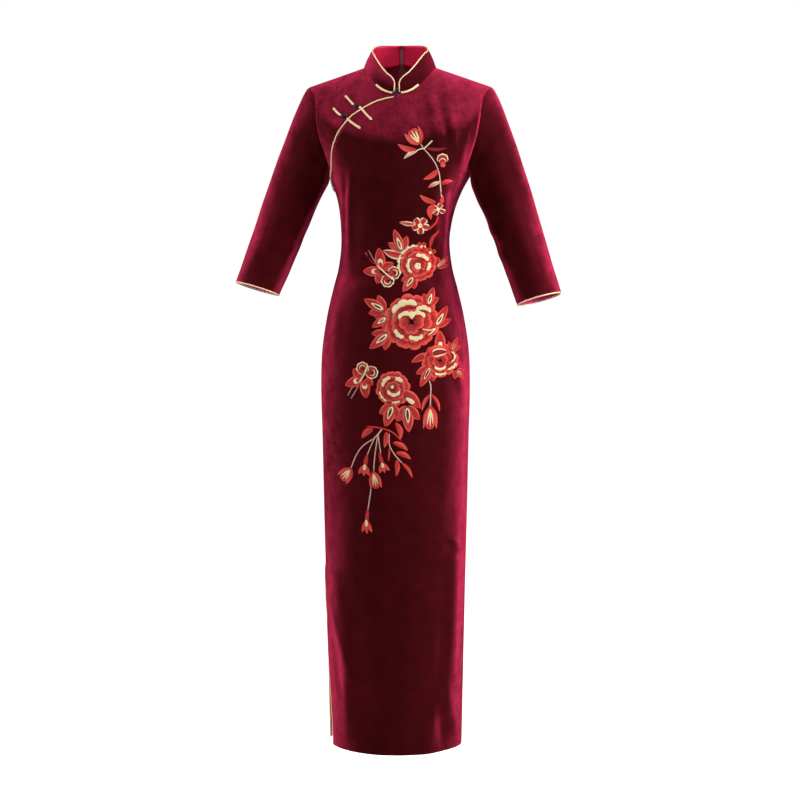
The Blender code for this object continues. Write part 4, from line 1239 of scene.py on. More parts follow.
def slit_piping_path(side):
    edge = slit_front_angle if side < 0 else slit_back_angle
    level = np.linspace(HEM_LEVEL, SLIT_CORD_TOPS[side], 120)
    angle = edge(level)
    middle = body(side, angle, level, -CLOTH / 2)
    outer = body(side, angle, level)
    beyond = unit(middle - body(side, angle - 0.02, level, -CLOTH / 2))
    rolled = ease((level - SLIT_CORD_ROLL_LEVEL) / SLIT_CORD_ROLL_RUN)
    roll = (math.pi / 2 * rolled if side < 0 else level * 0)[:, None]
    away = beyond * np.cos(roll) + unit(outer - middle) * np.sin(roll)
    reach = CLOTH / 2 * np.sin(roll) + settings().piping_radius + CORD_OFF_EDGE
    return middle + away * reach


class CHEONGSAM_OT_piping(CheongsamStep):
    """Bind the collar, placket, cuffs and slit with corded satin piping"""

    bl_idname = "cheongsam.piping"
    bl_label = "Piping"

    def build(self):
        radius = settings().piping_radius
        slot = "gold_satin_piping"
        for hand, side in HANDS:
            keep(cord(f"collar_cord_{side}", collar_piping_path(hand), radius, "gold"),
                 slot, f"collar_piping_{side}")
            keep(cord(f"cuff_cord_{side}", cuff_piping_path(hand), radius, "gold", ring=True),
                 slot, f"cuff_piping_{side}")
        keep(cord("placket_cord", placket_piping_path(), radius, "gold"),
             slot, "placket_piping")
        for side, name in ((-1, "front"), (1, "back")):
            keep(cord(f"slit_cord_{name}", slit_piping_path(side), radius, "gold"),
                 slot, f"slit_piping_{name}")


# ---- frog fastenings
FROG_CORD = 0.001
STRAP_HALF = 0.00095            # half the distance between a strap's two cords
STRAP_BULGE = 1.2
STRAP_LIFT = 0.0027
OVER_PIPING = 0.0061
KNOT_REACH = 0.00335            # from the middle of a knot to the middle of its cord
KNOT_WEAVE = 0.00042
KNOT_CORD = 0.00118
KNOT_CORE = 0.0032
LOOP_RADIUS = 0.0052
COLLAR_STRAP_ENDS = (83.5, 56.0)    # degrees from the wearer's left or right
COLLAR_STRAP_HEIGHT = 0.09      # as a share of the collar's height
COLLAR_STRAP_LIFT = 0.0026
COLLAR_KNOT = (0.0, -0.0795, -0.0445)
COLLAR_LOOP_FORWARD = 0.0834
COLLAR_LOOP_LEVEL = -0.0545
COLLAR_LOOP_RADII = (0.0042, 0.0038)


def front_at(x, level, out=0.0):
    x, level = np.asarray(x, float), np.asarray(level, float)
    return body(-1, angle_at(x - sway(level), level), level, out)


def strap(name, points, normals):
    """A strap: a cord doubled back on itself along points, with a swelling at its free end."""
    run = unit(np.gradient(points, axis=0))
    beside = unit(np.cross(run, normals))
    count = len(points)
    swell = 1 + (STRAP_BULGE - 1) * np.exp(-(((np.arange(count) - count + 3) / 3.0) ** 2))
    out = points + beside * (STRAP_HALF * swell)[:, None]
    back = points - beside * (STRAP_HALF * swell)[:, None]
    turn = np.linspace(-np.pi / 2, np.pi / 2, 9)[1:-1]
    tip = (points[-1] + run[-1] * (STRAP_HALF * STRAP_BULGE * np.cos(turn))[:, None]
           - beside[-1] * (STRAP_HALF * STRAP_BULGE * np.sin(turn))[:, None])
    return cord(f"frog_cord_{name}", np.concatenate([out, tip, back[::-1]]), FROG_CORD, "gold",
                sides=10, spacing=0.0008)


def button_loop(name, points):
    return cord(f"button_loop_{name}", points, FROG_CORD, "loop", ring=True, spacing=0.001)


def ball_knot(name, centre, normal):
    """A button knot: one cord wound over and under itself round a core."""
    normal = Vector(normal)
    frame_turn = normal.to_track_quat("Z", "Y").to_matrix()
    t = np.linspace(0, 2 * np.pi, 241)[:-1]
    lat = 0.98 * np.sin(3 * t + 0.3)
    lon = 2 * t
    reach = KNOT_REACH + KNOT_WEAVE * np.cos(6 * t)
    local = stacked(reach * np.cos(lat) * np.cos(lon), reach * np.cos(lat) * np.sin(lon),
                    reach * np.sin(lat) * 0.95)
    points = [Vector(centre) + frame_turn @ Vector(p) for p in local]
    knot = cord(name, points, KNOT_CORD, "knot", ring=True, sides=8, spacing=0.0006)
    core = bmesh.new()
    core.from_mesh(knot.data)
    made = bmesh.ops.create_uvsphere(core, u_segments=16, v_segments=10, radius=KNOT_CORE)
    for vert in made["verts"]:
        vert.co = Vector(centre) + vert.co
    core.to_mesh(knot.data)
    core.free()
    knot.data.shade_smooth()
    return knot


# First and second strap as (x, level, height off the cloth), then knot, then loop
FROGS = {
    "upper": (
        ((-0.083, -0.0735, STRAP_LIFT), (-0.0905, -0.0665, STRAP_LIFT),
         (-0.0985, -0.0585, STRAP_LIFT)),
        ((-0.07, -0.079, OVER_PIPING), (-0.064, -0.085, OVER_PIPING),
         (-0.056, -0.093, STRAP_LIFT + 0.001), (-0.047, -0.101, STRAP_LIFT)),
        (-0.0765, -0.0745, KNOT + 0.001), (-0.0765, -0.076, 0.0016)),
    "lower": (
        ((-0.107, -0.0935, STRAP_LIFT), (-0.115, -0.088, STRAP_LIFT),
         (-0.123, -0.08, STRAP_LIFT)),
        ((-0.093, -0.1005, OVER_PIPING), (-0.087, -0.106, OVER_PIPING - 0.001),
         (-0.078, -0.112, STRAP_LIFT + 0.0005), (-0.069, -0.1175, STRAP_LIFT)),
        (-0.1005, -0.095, KNOT + 0.001), (-0.1005, -0.096, 0.0016)),
}


class CHEONGSAM_OT_frogs(CheongsamStep):
    """Sew on the three frog fastenings"""

    bl_idname = "cheongsam.frogs"
    bl_label = "Frog fastenings"

    def build(self):
        turn = np.linspace(0, 2 * np.pi, 33)[:-1]
        for name, (first, second, knot, loop) in FROGS.items():
            for part, route in (("strap_a", first), ("strap_b", second)):
                points = front_at(*along(route, np.linspace(0, 1, 24)).T)
                keep(strap(f"{name}_{part}", points, body_normal(-1, points)),
                     "gold_satin_piping", f"frog_{name}_{part}")
            centre = front_at(*knot)
            normal = body_normal(-1, front_at(knot[0], knot[1])[None])[0]
            keep(ball_knot(f"button_knot_{name}", centre, normal), "plum_knot_satin",
                 f"frog_{name}_knot")
            ring = front_at(loop[0] + LOOP_RADIUS * np.cos(turn),
                            loop[1] + LOOP_RADIUS * np.sin(turn), loop[2])
            keep(button_loop(name, ring), "plum_knot_satin", f"frog_{name}_loop")
        self.build_collar_frog(turn)

    def build_collar_frog(self, turn):
        for part, hand in (("strap_a", -1), ("strap_b", 1)):
            facing = hand_turn(np.radians(np.linspace(*COLLAR_STRAP_ENDS, 24)), hand)
            height = np.full(24, COLLAR_STRAP_HEIGHT)
            points = collar_layer(facing, height, -COLLAR_STRAP_LIFT)
            keep(strap(f"collar_{part}", points, collar_normal(facing, height)),
                 "gold_satin_piping", f"frog_collar_{part}")
        keep(ball_knot("button_knot_collar", COLLAR_KNOT, (0.0, -1.0, 0.1)),
             "plum_knot_satin", "frog_collar_knot")
        ring = stacked(COLLAR_LOOP_RADII[0] * np.cos(turn), -COLLAR_LOOP_FORWARD,
                       COLLAR_LOOP_LEVEL + COLLAR_LOOP_RADII[1] * np.sin(turn))
        keep(button_loop("collar", ring), "plum_knot_satin", "frog_collar_loop")


# ---- centre-back zip
TAPE_START = 0.0012             # the tape's inner edge, off the centre
TAPE_ON_COLLAR = 0.0024
TAPE_ON_BACK = 0.0083
TAPE_CLOTH = 0.0007
PULL_HALF = 0.0004              # half the pull's thickness
SLIDER_HALF_WIDTH = 0.003
SLIDER_NARROWS = 0.78           # width at its lower end, as a share of its full width
SLIDER_LOW = -0.0052
SLIDER_HEIGHT = 0.0076
BOW_WINDOW = ((-0.001, -0.0012), (0.001, -0.0012), (0.001, 0.001), (-0.001, 0.001))
# Across the pull and up it, from the hinge
PULL_OUTLINE = ((-0.0019, PULL_HALF), (0.0019, PULL_HALF), (0.0022, -0.005),
                (0.0022, -0.015), (0.0012, -0.0168), (-0.0012, -0.0168),
                (-0.0022, -0.015), (-0.0022, -0.005))
PULL_EYE = ((-0.001, -PULL_HALF), (0.001, -PULL_HALF), (0.001, -0.003),
            (0.001, -0.0042), (0.0006, -0.005), (-0.0006, -0.005), (-0.001, -0.0042),
            (-0.001, -0.003))


def zip_path(x, depth_on_collar, depth_on_body, high=0.78):
    """A line down beside the centre back, inside the collar and then inside the back."""
    heights = np.linspace(high, 0.08, 20)
    turn = -math.pi / 2 + x / NECK_HALF_WIDTH
    upper = (collar(np.full(20, turn), heights)
             - collar_normal(np.full(20, turn), heights) * depth_on_collar)
    levels = np.linspace(float(neck(1, math.pi / 2)[1]), ZIP_END_LEVEL, 110)
    lower = body(1, angle_at(x, levels), levels, -depth_on_body)
    return np.concatenate([upper, lower])


def build_zip_tape(hand, side):
    def rows(extra):
        columns = []
        for share in np.linspace(0, 1, 7):
            near, wide = (zip_path(hand * (TAPE_START + width * share),
                                   COLLAR_CLOTH + SEAM + extra, CLOTH + 0.0006 + extra)
                          for width in (TAPE_ON_COLLAR, TAPE_ON_BACK))
            weight = ease((np.arange(len(near)) - 20) / 5.0)[:, None]
            columns.append(near * (1 - weight) + wide * weight)
        return list(np.stack(columns, axis=1))

    return wall(f"zip_woven_tape_{side}", rows(0.0), rows(TAPE_CLOTH), [material("tape")])


def extruded(name, axes, outline, hole, depths, key):
    """A flat plate with a hole. axes are its origin, the two that its outlines are drawn on
    and the one that its depths run along."""
    origin, first, second, third = axes
    rows = [[np.array([origin + first * a + second * b + third * depth for a, b in loop])
             for loop in (outline, hole)] for depth in depths]
    return wall(name, *rows, [material(key)], ring=True)


def soften(piece, width, segments=2):
    bevel = piece.modifiers.new("soft_edges", "BEVEL")
    bevel.width = width
    bevel.segments = segments
    bevel.limit_method = "ANGLE"
    bevel.angle_limit = math.radians(40)
    graph = bpy.context.evaluated_depsgraph_get()
    mesh = bpy.data.meshes.new_from_object(piece.evaluated_get(graph))
    piece.modifiers.clear()
    old, piece.data = piece.data, mesh
    bpy.data.meshes.remove(old)
    mesh.shade_smooth()
    mesh.set_sharp_from_angle(angle=math.radians(50))
    return piece


def build_slider(hinge, across, up, out):
    """Two plates on either side of the teeth, and a bow that holds the pull."""
    plate = -HINGE_OFF_COLLAR - COLLAR_CLOTH - SEAM - 0.001
    rim = ((plate - 0.001, -0.0034), (0.0019, -0.0026), (0.0019, 0.002),
           (plate - 0.001, 0.0024))
    bow = extruded("zip_slider_bow", (hinge, out, up, across), rim, BOW_WINDOW,
                   (-0.0005, 0.0005), "metal")
    shell = bmesh.new()
    shell.from_mesh(soften(bow, 0.0002).data)
    for inner, outer in ((plate - 0.0022, plate - 0.0013), (plate - 0.0009, plate)):
        made = bmesh.ops.create_cube(shell, size=1.0)["verts"]
        for vert in made:
            a = -SLIDER_HALF_WIDTH + (2 * SLIDER_HALF_WIDTH) * (vert.co.x + 0.5)
            b = inner + (outer - inner) * (vert.co.y + 0.5)
            c = SLIDER_LOW + SLIDER_HEIGHT * (vert.co.z + 0.5)
            a *= SLIDER_NARROWS if vert.co.z < 0 else 1.0
            vert.co = Vector(hinge + across * a + out * b + up * c)
        edges = list({edge for vert in made for edge in vert.link_edges})
        bmesh.ops.bevel(shell, geom=edges, offset=0.0003, segments=2, affect="EDGES")
    shell.to_mesh(bow.data)
    shell.free()
    bow.name = "zip_slider_metal"
    return outward(bow)


class CHEONGSAM_OT_zip(CheongsamStep):
    """Set the zip into the centre back"""

    bl_idname = "cheongsam.zip"
    bl_label = "Back zip"

    def build(self):
        for hand, side in HANDS:
            keep(build_zip_tape(hand, side), "mauve_zip_tape", f"zip_tape_{side}")
        chain = grown("zip_coil", zip_path(0.0, COLLAR_CLOTH + SEAM + 0.0006, CLOTH + 0.0012),
                      "teeth", {"Material": material("coil")})
        keep(chain, "mauve_zip_tape", "zip_chain")
        up = np.array([0.0, -math.sin(PULL_TILT), math.cos(PULL_TILT)])
        out = np.array([0.0, math.cos(PULL_TILT), math.sin(PULL_TILT)])
        across = np.array([1.0, 0.0, 0.0])
        hinge = np.array(HINGE)
        keep(build_slider(hinge, across, up, out), "red_painted_zip_metal", "zip_slider")
        pull = extruded("zip_pull_metal", (hinge, across, up, out), PULL_OUTLINE, PULL_EYE,
                        (PULL_HALF, -PULL_HALF), "metal")
        keep(soften(pull, 0.00018), "red_painted_zip_metal", "zip_pull", body_name="zip_pull")


# ---- embroidery
RED = (0.66, 0.015, 0.013)
DEEP = (0.23, 0.004, 0.006)
CORAL = (0.84, 0.085, 0.055)
CREAM = (0.95, 0.84, 0.54)
PALE_GOLD = (0.86, 0.74, 0.36)
DARK = (0.05, 0.004, 0.006)
STALK = (0.76, 0.5, 0.4)
THREAD_RISE = 0.0007            # how far a stitched shape domes up
LAYER_RISE = 0.00045            # how far each layer of stitches lies on the one below
UNDERLAP = 0.0004               # how deep the stitches sink into the pile
ROUND_WING = 0.0125
FEELER_HALF = 0.0006
FEELER_KNOB = 0.0016
ACROSS = np.array([-1.0, -0.74, -0.6, -0.3, 0.0, 0.3, 0.6, 0.74, 1.0])


def blend(first, second, share):
    share = np.asarray(share, float)[..., None]
    return np.asarray(first) * (1 - share) + np.asarray(second) * share


def spine_of(root, tip):
    """Both ends as arrays, the way from one to the other, and the way square to it."""
    root, tip = np.array(root), np.array(tip)
    run = tip - root
    return root, tip, run, np.array([-run[1], run[0]])


def leaf_shape(s):
    return np.sin(np.pi * np.clip(s, 0, 1) ** 0.85) ** 0.9


def petal_shape(s):
    low = 0.3 + 0.7 * np.sin(np.pi / 2 * np.clip(s / 0.62, 0, 1))
    round_end = np.sqrt(np.maximum(0, 1 - (np.clip(s - 0.62, 0, 1) / 0.38) ** 2))
    return np.where(s < 0.62, low, round_end)


def line_shape(s):
    return np.minimum(1, np.sqrt(np.maximum(0, np.minimum(s, 1 - s)) * 30)) + 0.02


class Stitching:
    """Raised satin stitch, drawn shape by shape as (x, level) on the front of the dress."""

    def __init__(self):
        self.places, self.colours, self.lays, self.faces, self.count = [], [], [], [], 0
        self.shapes = 0

    def _add(self, flat, height, colour, lay, layer):
        """flat is a grid of (x, level); height, colour and lay go with its points."""
        rows, columns = height.shape
        self.shapes += 1
        lowest = layer * LAYER_RISE + 0.00005 * (self.shapes % 5)
        top = np.concatenate([flat, (lowest + height)[..., None]], axis=-1)
        under = np.concatenate([flat, np.full((rows, columns, 1), -UNDERLAP)], axis=-1)
        start, below = self.count, self.count + rows * columns
        for r in range(rows - 1):
            for c in range(columns - 1):
                a = start + r * columns + c
                self.faces.append((a, a + 1, a + columns + 1, a + columns))
                b = below + r * columns + c
                self.faces.append((b, b + columns, b + columns + 1, b + 1))
        ring = ([r * columns for r in range(rows)]
                + [(rows - 1) * columns + c for c in range(1, columns)]
                + [r * columns + columns - 1 for r in range(rows - 2, -1, -1)]
                + list(range(columns - 2, 0, -1)))
        for a, b in zip(ring, ring[1:] + ring[:1]):
            self.faces.append((start + a, start + b, below + b, below + a))
        for grid in (top, under):
            self.places.append(grid.reshape(-1, 3))
            self.colours.append(colour.reshape(-1, 3))
            self.lays.append(lay.reshape(-1, 2))
        self.count += 2 * rows * columns

    def satin(self, spine, half, root, tip, edge=None, layer=0, shape=leaf_shape, rise=1.0):
        """A shape along a spine, with its half width following shape from root to tip."""
        s = np.linspace(0, 1, 15)
        middle = along(spine, s)
        run = unit(np.gradient(middle, axis=0))
        side = np.stack([-run[:, 1], run[:, 0]], axis=-1)
        wide = half * np.maximum(shape(s), 0.03)
        flat = middle[:, None] + side[:, None] * (wide[:, None] * ACROSS)[..., None]
        dome = np.sqrt(1 - (0.98 * ACROSS) ** 2) * np.minimum(1, wide / 0.0018)[:, None]
        colour = blend(root, tip, np.repeat(s[:, None], len(ACROSS), axis=1))
        if edge is not None:
            rim = np.maximum(np.abs(ACROSS)[None, :] >= 0.7, (s >= 0.93)[:, None])
            colour = np.where(rim[..., None], np.asarray(edge), colour)
        length = np.linalg.norm(middle[-1] - middle[0])
        across = np.broadcast_to(ACROSS * half, dome.shape)
        lay = np.stack([s[:, None] * length + np.abs(across) * 0.7, across], axis=-1)
        self._add(flat, THREAD_RISE * rise * dome, colour, lay, layer)

    def line(self, spine, half, colour, layer=0):
        self.satin(spine, half, colour, colour, layer=layer, shape=line_shape, rise=0.7)

    def frill(self, centre, radii, sweep, band, inner, outer, lobes=4, edge=None, layer=0):
        """A scalloped petal that bends round a centre: band is its inner and outer share of
        the radii, and sweep the angles, in degrees, between which it lies."""
        s = np.linspace(0, 1, 8 * max(lobes, 2) + 1)
        angle = np.radians(sweep[0] + (sweep[1] - sweep[0]) * s)
        scallop = 0.1 * np.abs(np.sin(np.pi * lobes * s)) ** 0.6
        fade = np.sin(np.pi * np.clip(s, 0.02, 0.98)) ** 0.45
        low = band[0] + (band[1] - band[0]) * 0.45 * (1 - fade)
        high = band[1] * (0.93 + scallop) - (band[1] - band[0]) * 0.45 * (1 - fade)
        t = np.array([0.0, 0.1, 0.35, 0.65, 0.84, 0.92, 1.0])
        reach = low[:, None] + (high - low)[:, None] * t
        turned = angle[:, None]
        x, z = reach * np.cos(turned) * radii[0], reach * np.sin(turned) * radii[1]
        flat = np.stack([centre[0] + x, centre[1] + z], axis=-1)
        dome = np.sqrt(np.maximum(0, 1 - (2 * t - 1) ** 2 * 0.97))
        height = THREAD_RISE * np.broadcast_to(dome, reach.shape) * fade[:, None]
        colour = blend(inner, outer, np.broadcast_to(t, reach.shape))
        if edge is not None:
            colour = np.where((t >= 0.84)[None, :, None], np.asarray(edge), colour)
        size = (radii[0] + radii[1]) / 2
        lay = np.stack([turned * reach * size, reach * size], axis=-1)
        self._add(flat, height, colour, lay, layer)

    # ---- motifs
    def leaf(self, root, tip, half, bow=0.12, colour=RED, tip_colour=CORAL, edge=None, layer=0):
        root, tip, run, beside = spine_of(root, tip)
        middle = (root + tip) / 2 + beside * bow
        self.satin([root, middle, tip], half * 0.86, colour, tip_colour, edge, layer)
        self.line([root + run * 0.08, (root + middle + tip) / 3, root + run * 0.85],
                  0.0003, DEEP, layer + 2)

    def lobed_leaf(self, root, tip, half):
        """A leaf with two side lobes, and a pale heart stitched round a dark vein."""
        root, tip, run, _ = spine_of(root, tip)
        for turn in (38, -38):
            cos, sin = math.cos(math.radians(turn)), math.sin(math.radians(turn))
            lobe = root + 0.7 * np.array([run[0] * cos - run[1] * sin,
                                           run[0] * sin + run[1] * cos])
            self.satin([root, (root + lobe) / 2, lobe], half * 0.55, DEEP, RED, CORAL)
        self.satin([root, (root + tip) / 2, tip], half * 0.62, DEEP, RED, CORAL, layer=1)
        self.satin([root + run * 0.06, root + run * 0.34, root + run * 0.66],
                   half * 0.27, CREAM, CREAM, layer=2)
        self.satin([root + run * 0.12, root + run * 0.36, root + run * 0.58],
                   half * 0.14, DARK, DEEP, layer=3)

    def wing(self, root, tip, half, heart=CREAM):
        root, tip, run, _ = spine_of(root, tip)
        self.satin([root, root + run * 0.5, tip], half, DEEP, RED, CORAL)
        self.satin([root + run * 0.05, root + run * 0.25, root + run * 0.5],
                   half * 0.5, heart, heart, layer=1, shape=petal_shape)
        self.satin([root, root + run * 0.16, root + run * 0.34],
                   half * 0.4, RED, RED, layer=2, shape=petal_shape)

    def round_wing(self, centre, radius, towards):
        """A rounded wing with a pale outline and a pale inner loop."""
        centre = np.array(centre)
        self.frill(centre, (radius, radius), (0, 360), (0.02, 0.9), DEEP, RED, lobes=7)
        self.frill(centre, (radius, radius), (towards - 150, towards + 150), (0.84, 1.02),
                   CREAM, CREAM, lobes=6, layer=1)
        self.frill(centre, (radius, radius), (towards - 100, towards + 100), (0.42, 0.56),
                   CREAM, CREAM, lobes=1, layer=1)

    def tulip(self, root, tip, half):
        """A half-open flower: two curved side petals, a middle one and pale stamens."""
        root, tip, run, beside = spine_of(root, tip)
        side = unit(beside) * half
        self.satin([root, root + run * 0.5, tip], half * 0.75, DEEP, RED, CORAL,
                   shape=petal_shape)
        for hand in (-1, 1):
            self.satin([root, root + run * 0.42 + side * hand * 0.72,
                        tip - run * 0.02 + side * hand * 0.98], half * 0.34, RED, CORAL,
                       DEEP if hand < 0 else None, layer=1)
        for hand, reach in ((-0.28, 0.8), (0.02, 0.9), (0.3, 0.76)):
            self.satin([root + run * 0.12, root + run * 0.45 + side * hand,
                        root + run * reach + side * hand * 1.4], half * 0.12, PALE_GOLD,
                       CREAM, layer=2)

    def trumpet(self, root, mouth, tip, half):
        """A narrow tube that flares into three pointed lips."""
        mouth, tip, run, beside = spine_of(mouth, tip)
        side = unit(beside) * half
        self.satin([root, (root + mouth) / 2, mouth + run * 0.2], half * 0.42, RED, RED, DEEP,
                   shape=petal_shape)
        for hand in (-1, 0, 1):
            self.satin([mouth - run * 0.1, mouth + run * 0.4 + side * hand * 0.5,
                        tip + side * hand - run * 0.12 * abs(hand)], half * 0.42, RED, CORAL,
                       layer=1)
        self.satin([mouth - run * 0.15, mouth + run * 0.1, mouth + run * 0.42], half * 0.3,
                   CREAM, PALE_GOLD, layer=2, shape=petal_shape)

    def blossom(self, centre, radius, petals=5, turn=90, edge=CREAM):
        centre = np.array(centre)
        for k in range(petals):
            angle = math.radians(turn + 360 * k / petals)
            way = np.array([math.cos(angle), math.sin(angle)])
            self.satin([centre + way * radius * 0.12, centre + way * radius * 0.6,
                        centre + way * radius], radius * 0.4, DEEP, RED, edge,
                       shape=petal_shape, layer=k % 2)
        self.frill(centre, (radius * 0.3, radius * 0.3), (0, 360), (0.05, 1.0), CREAM, CREAM,
                   lobes=6, layer=2)

    def peony(self, centre, radii, turn, arcs, heart):
        """Rings of scalloped petals round a bowl. arcs are the pale inner edges: offset,
        size, sweep and band, in shares of the radii. heart is an offset and a size."""
        centre, radii = np.array(centre), np.array(radii)
        for petals, first, reach, band, lobes, layer in (
                (6, 0, 42, (0.55, 1.0), 3, 0), (5, 24, 46, (0.34, 0.74), 3, 2),
                (4, 50, 50, (0.06, 0.46), 2, 4)):
            for k in range(petals):
                middle = turn + first + 360 // petals * k
                self.frill(centre, radii, (middle - reach, middle + reach), band, DEEP, RED,
                           lobes, CORAL, layer + k % 2)
        for offset, size, sweep, band in arcs:
            self.frill(centre + np.array(offset) * radii, radii * size, sweep, band,
                       PALE_GOLD, CREAM, lobes=3, layer=6)
            self.frill(centre + np.array(offset) * radii, radii * size, sweep,
                       (band[0] * 0.86, band[0] + (band[1] - band[0]) * 0.25), DEEP, RED,
                       lobes=2, layer=6)
        offset, size = heart
        self.frill(centre + np.array(offset) * radii, radii * size, (0, 360), (0.04, 1.0),
                   PALE_GOLD, CREAM, lobes=5, layer=7)

    def butterfly(self, wings, round_wings, spine, girth, feelers):
        for wing in wings:
            self.wing(*wing)
        for centre, towards in round_wings:
            self.round_wing(centre, ROUND_WING, towards)
        self.line(spine, girth, CREAM, 4)
        for route, colour, _ in feelers:
            self.line(route, FEELER_HALF, colour)
        for _, _, knob in feelers:
            self.blossom(knob, FEELER_KNOB, 3)

    def finish(self, name):
        places = np.concatenate(self.places)
        points = front_at(places[:, 0], places[:, 1], places[:, 2])
        piece = finish_mesh(name, points, self.faces, [material("thread")])
        mesh = piece.data
        colours = np.concatenate(self.colours)
        layer = mesh.color_attributes.new("thread_colour", "FLOAT_COLOR", "POINT")
        rgba = np.concatenate([colours, np.ones((len(colours), 1))], axis=1)
        layer.data.foreach_set("color", rgba.astype(np.float32).ravel())
        corners = np.empty(len(mesh.loops), np.int32)
        mesh.loops.foreach_get("vertex_index", corners)
        lays = np.concatenate(self.lays)[corners]
        mesh.uv_layers.new(name="stitches").data.foreach_set(
            "uv", lays.astype(np.float32).ravel())
        return keep(outward(piece), "embroidery_thread")


# Wings as (root, tip, half width, heart), round wings as (centre, way they open), the body and
# its half width, then the feelers as (route, colour, knob)
BUTTERFLIES = (
    ((((-0.028, -0.389), (-0.033, -0.347), 0.0105),
      ((-0.026, -0.388), (-0.004, -0.376), 0.009, RED),
      ((-0.03, -0.392), (-0.064, -0.393), 0.01),
      ((-0.028, -0.395), (-0.036, -0.416), 0.009, RED)),
     (((-0.003, -0.395), 20), ((-0.015, -0.41), 265)),
     ((-0.036, -0.38), (-0.02, -0.395), (-0.001, -0.41)), 0.0014,
     ((((-0.036, -0.38), (-0.044, -0.368), (-0.053, -0.353)), STALK, (-0.053, -0.353)),
      (((-0.04, -0.378), (-0.05, -0.371), (-0.059, -0.358)), RED, (-0.059, -0.358)))),
    ((((-0.064, -0.6), (-0.099, -0.615), 0.01),
      ((-0.066, -0.598), (-0.083, -0.582), 0.009, RED),
      ((-0.06, -0.602), (-0.056, -0.638), 0.0105),
      ((-0.058, -0.6), (-0.042, -0.611), 0.0085, RED)),
     (((-0.063, -0.58), 115), ((-0.045, -0.587), 340)),
     ((-0.069, -0.607), (-0.06, -0.592), (-0.052, -0.573)), 0.0013,
     ((((-0.069, -0.607), (-0.083, -0.617), (-0.093, -0.633)), STALK, (-0.093, -0.634)),
      (((-0.069, -0.607), (-0.076, -0.622), (-0.086, -0.638)), STALK, (-0.086, -0.639)))),
)


class CHEONGSAM_OT_upper_spray(CheongsamStep):
    """Stitch the bud, leaves and small flowers that climb to the chest"""

    bl_idname = "cheongsam.upper_spray"
    bl_label = "Upper spray"

    def build(self):
        art = Stitching()
        art.line([(0.048, -0.146), (0.055, -0.157), (0.07, -0.174), (0.08, -0.192),
                  (0.085, -0.213), (0.085, -0.246)], 0.001, STALK)
        art.tulip((0.047, -0.148), (0.03, -0.12), 0.015)
        art.leaf((0.042, -0.16), (0.005, -0.148), 0.0062, 0.1)
        art.line([(0.055, -0.157), (0.049, -0.157), (0.042, -0.16)], 0.0009, CREAM)
        art.leaf((0.043, -0.16), (0.017, -0.176), 0.0046, -0.08, CREAM, STALK)
        art.line([(0.055, -0.157), (0.062, -0.15), (0.071, -0.141)], 0.0011, CREAM)
        art.leaf((0.06, -0.156), (0.098, -0.155), 0.0042, -0.08, DEEP, DEEP)
        art.frill((0.09, -0.178), (0.012, 0.012), (-20, 200), (0.3, 1.0), DEEP, RED, 5, CREAM)
        art.frill((0.09, -0.182), (0.0075, 0.0075), (-10, 190), (0.2, 1.0), DEEP, RED, 3,
                  CREAM, layer=1)
        art.satin([(0.09, -0.18), (0.09, -0.186), (0.09, -0.192)], 0.0048, RED, CORAL,
                  layer=2, shape=petal_shape)
        art.leaf((0.082, -0.196), (0.054, -0.215), 0.006, 0.1)
        art.leaf((0.085, -0.22), (0.062, -0.231), 0.0042, -0.05, CREAM, RED)
        art.leaf((0.087, -0.224), (0.109, -0.219), 0.0048, 0.1)
        art.leaf((0.075, -0.259), (0.047, -0.245), 0.0058, 0.1, edge=CORAL)
        art.satin([(0.085, -0.262), (0.086, -0.255), (0.088, -0.246)], 0.0035, RED, CORAL)
        art.line([(0.085, -0.243), (0.087, -0.254), (0.083, -0.266)], 0.0012, STALK)
        art.blossom((0.078, -0.272), 0.0125, 4, 60)
        art.satin([(0.072, -0.262), (0.064, -0.275), (0.066, -0.292)], 0.005, RED, CORAL,
                  CORAL, layer=1)
        art.line([(0.078, -0.286), (0.074, -0.298), (0.063, -0.312)], 0.0016, RED)
        art.blossom((0.047, -0.304), 0.0165, 5, 54)
        art.blossom((0.046, -0.302), 0.0085, 5, 90, RED)
        art.leaf((0.036, -0.301), (0.008, -0.297), 0.0052, 0.04, edge=CREAM)
        art.leaf((0.064, -0.35), (0.079, -0.314), 0.004, 0.1, DEEP, RED)
        art.line([(0.064, -0.35), (0.068, -0.332), (0.079, -0.312)], 0.001, RED, layer=1)
        art.finish("embroidery_upper_spray")


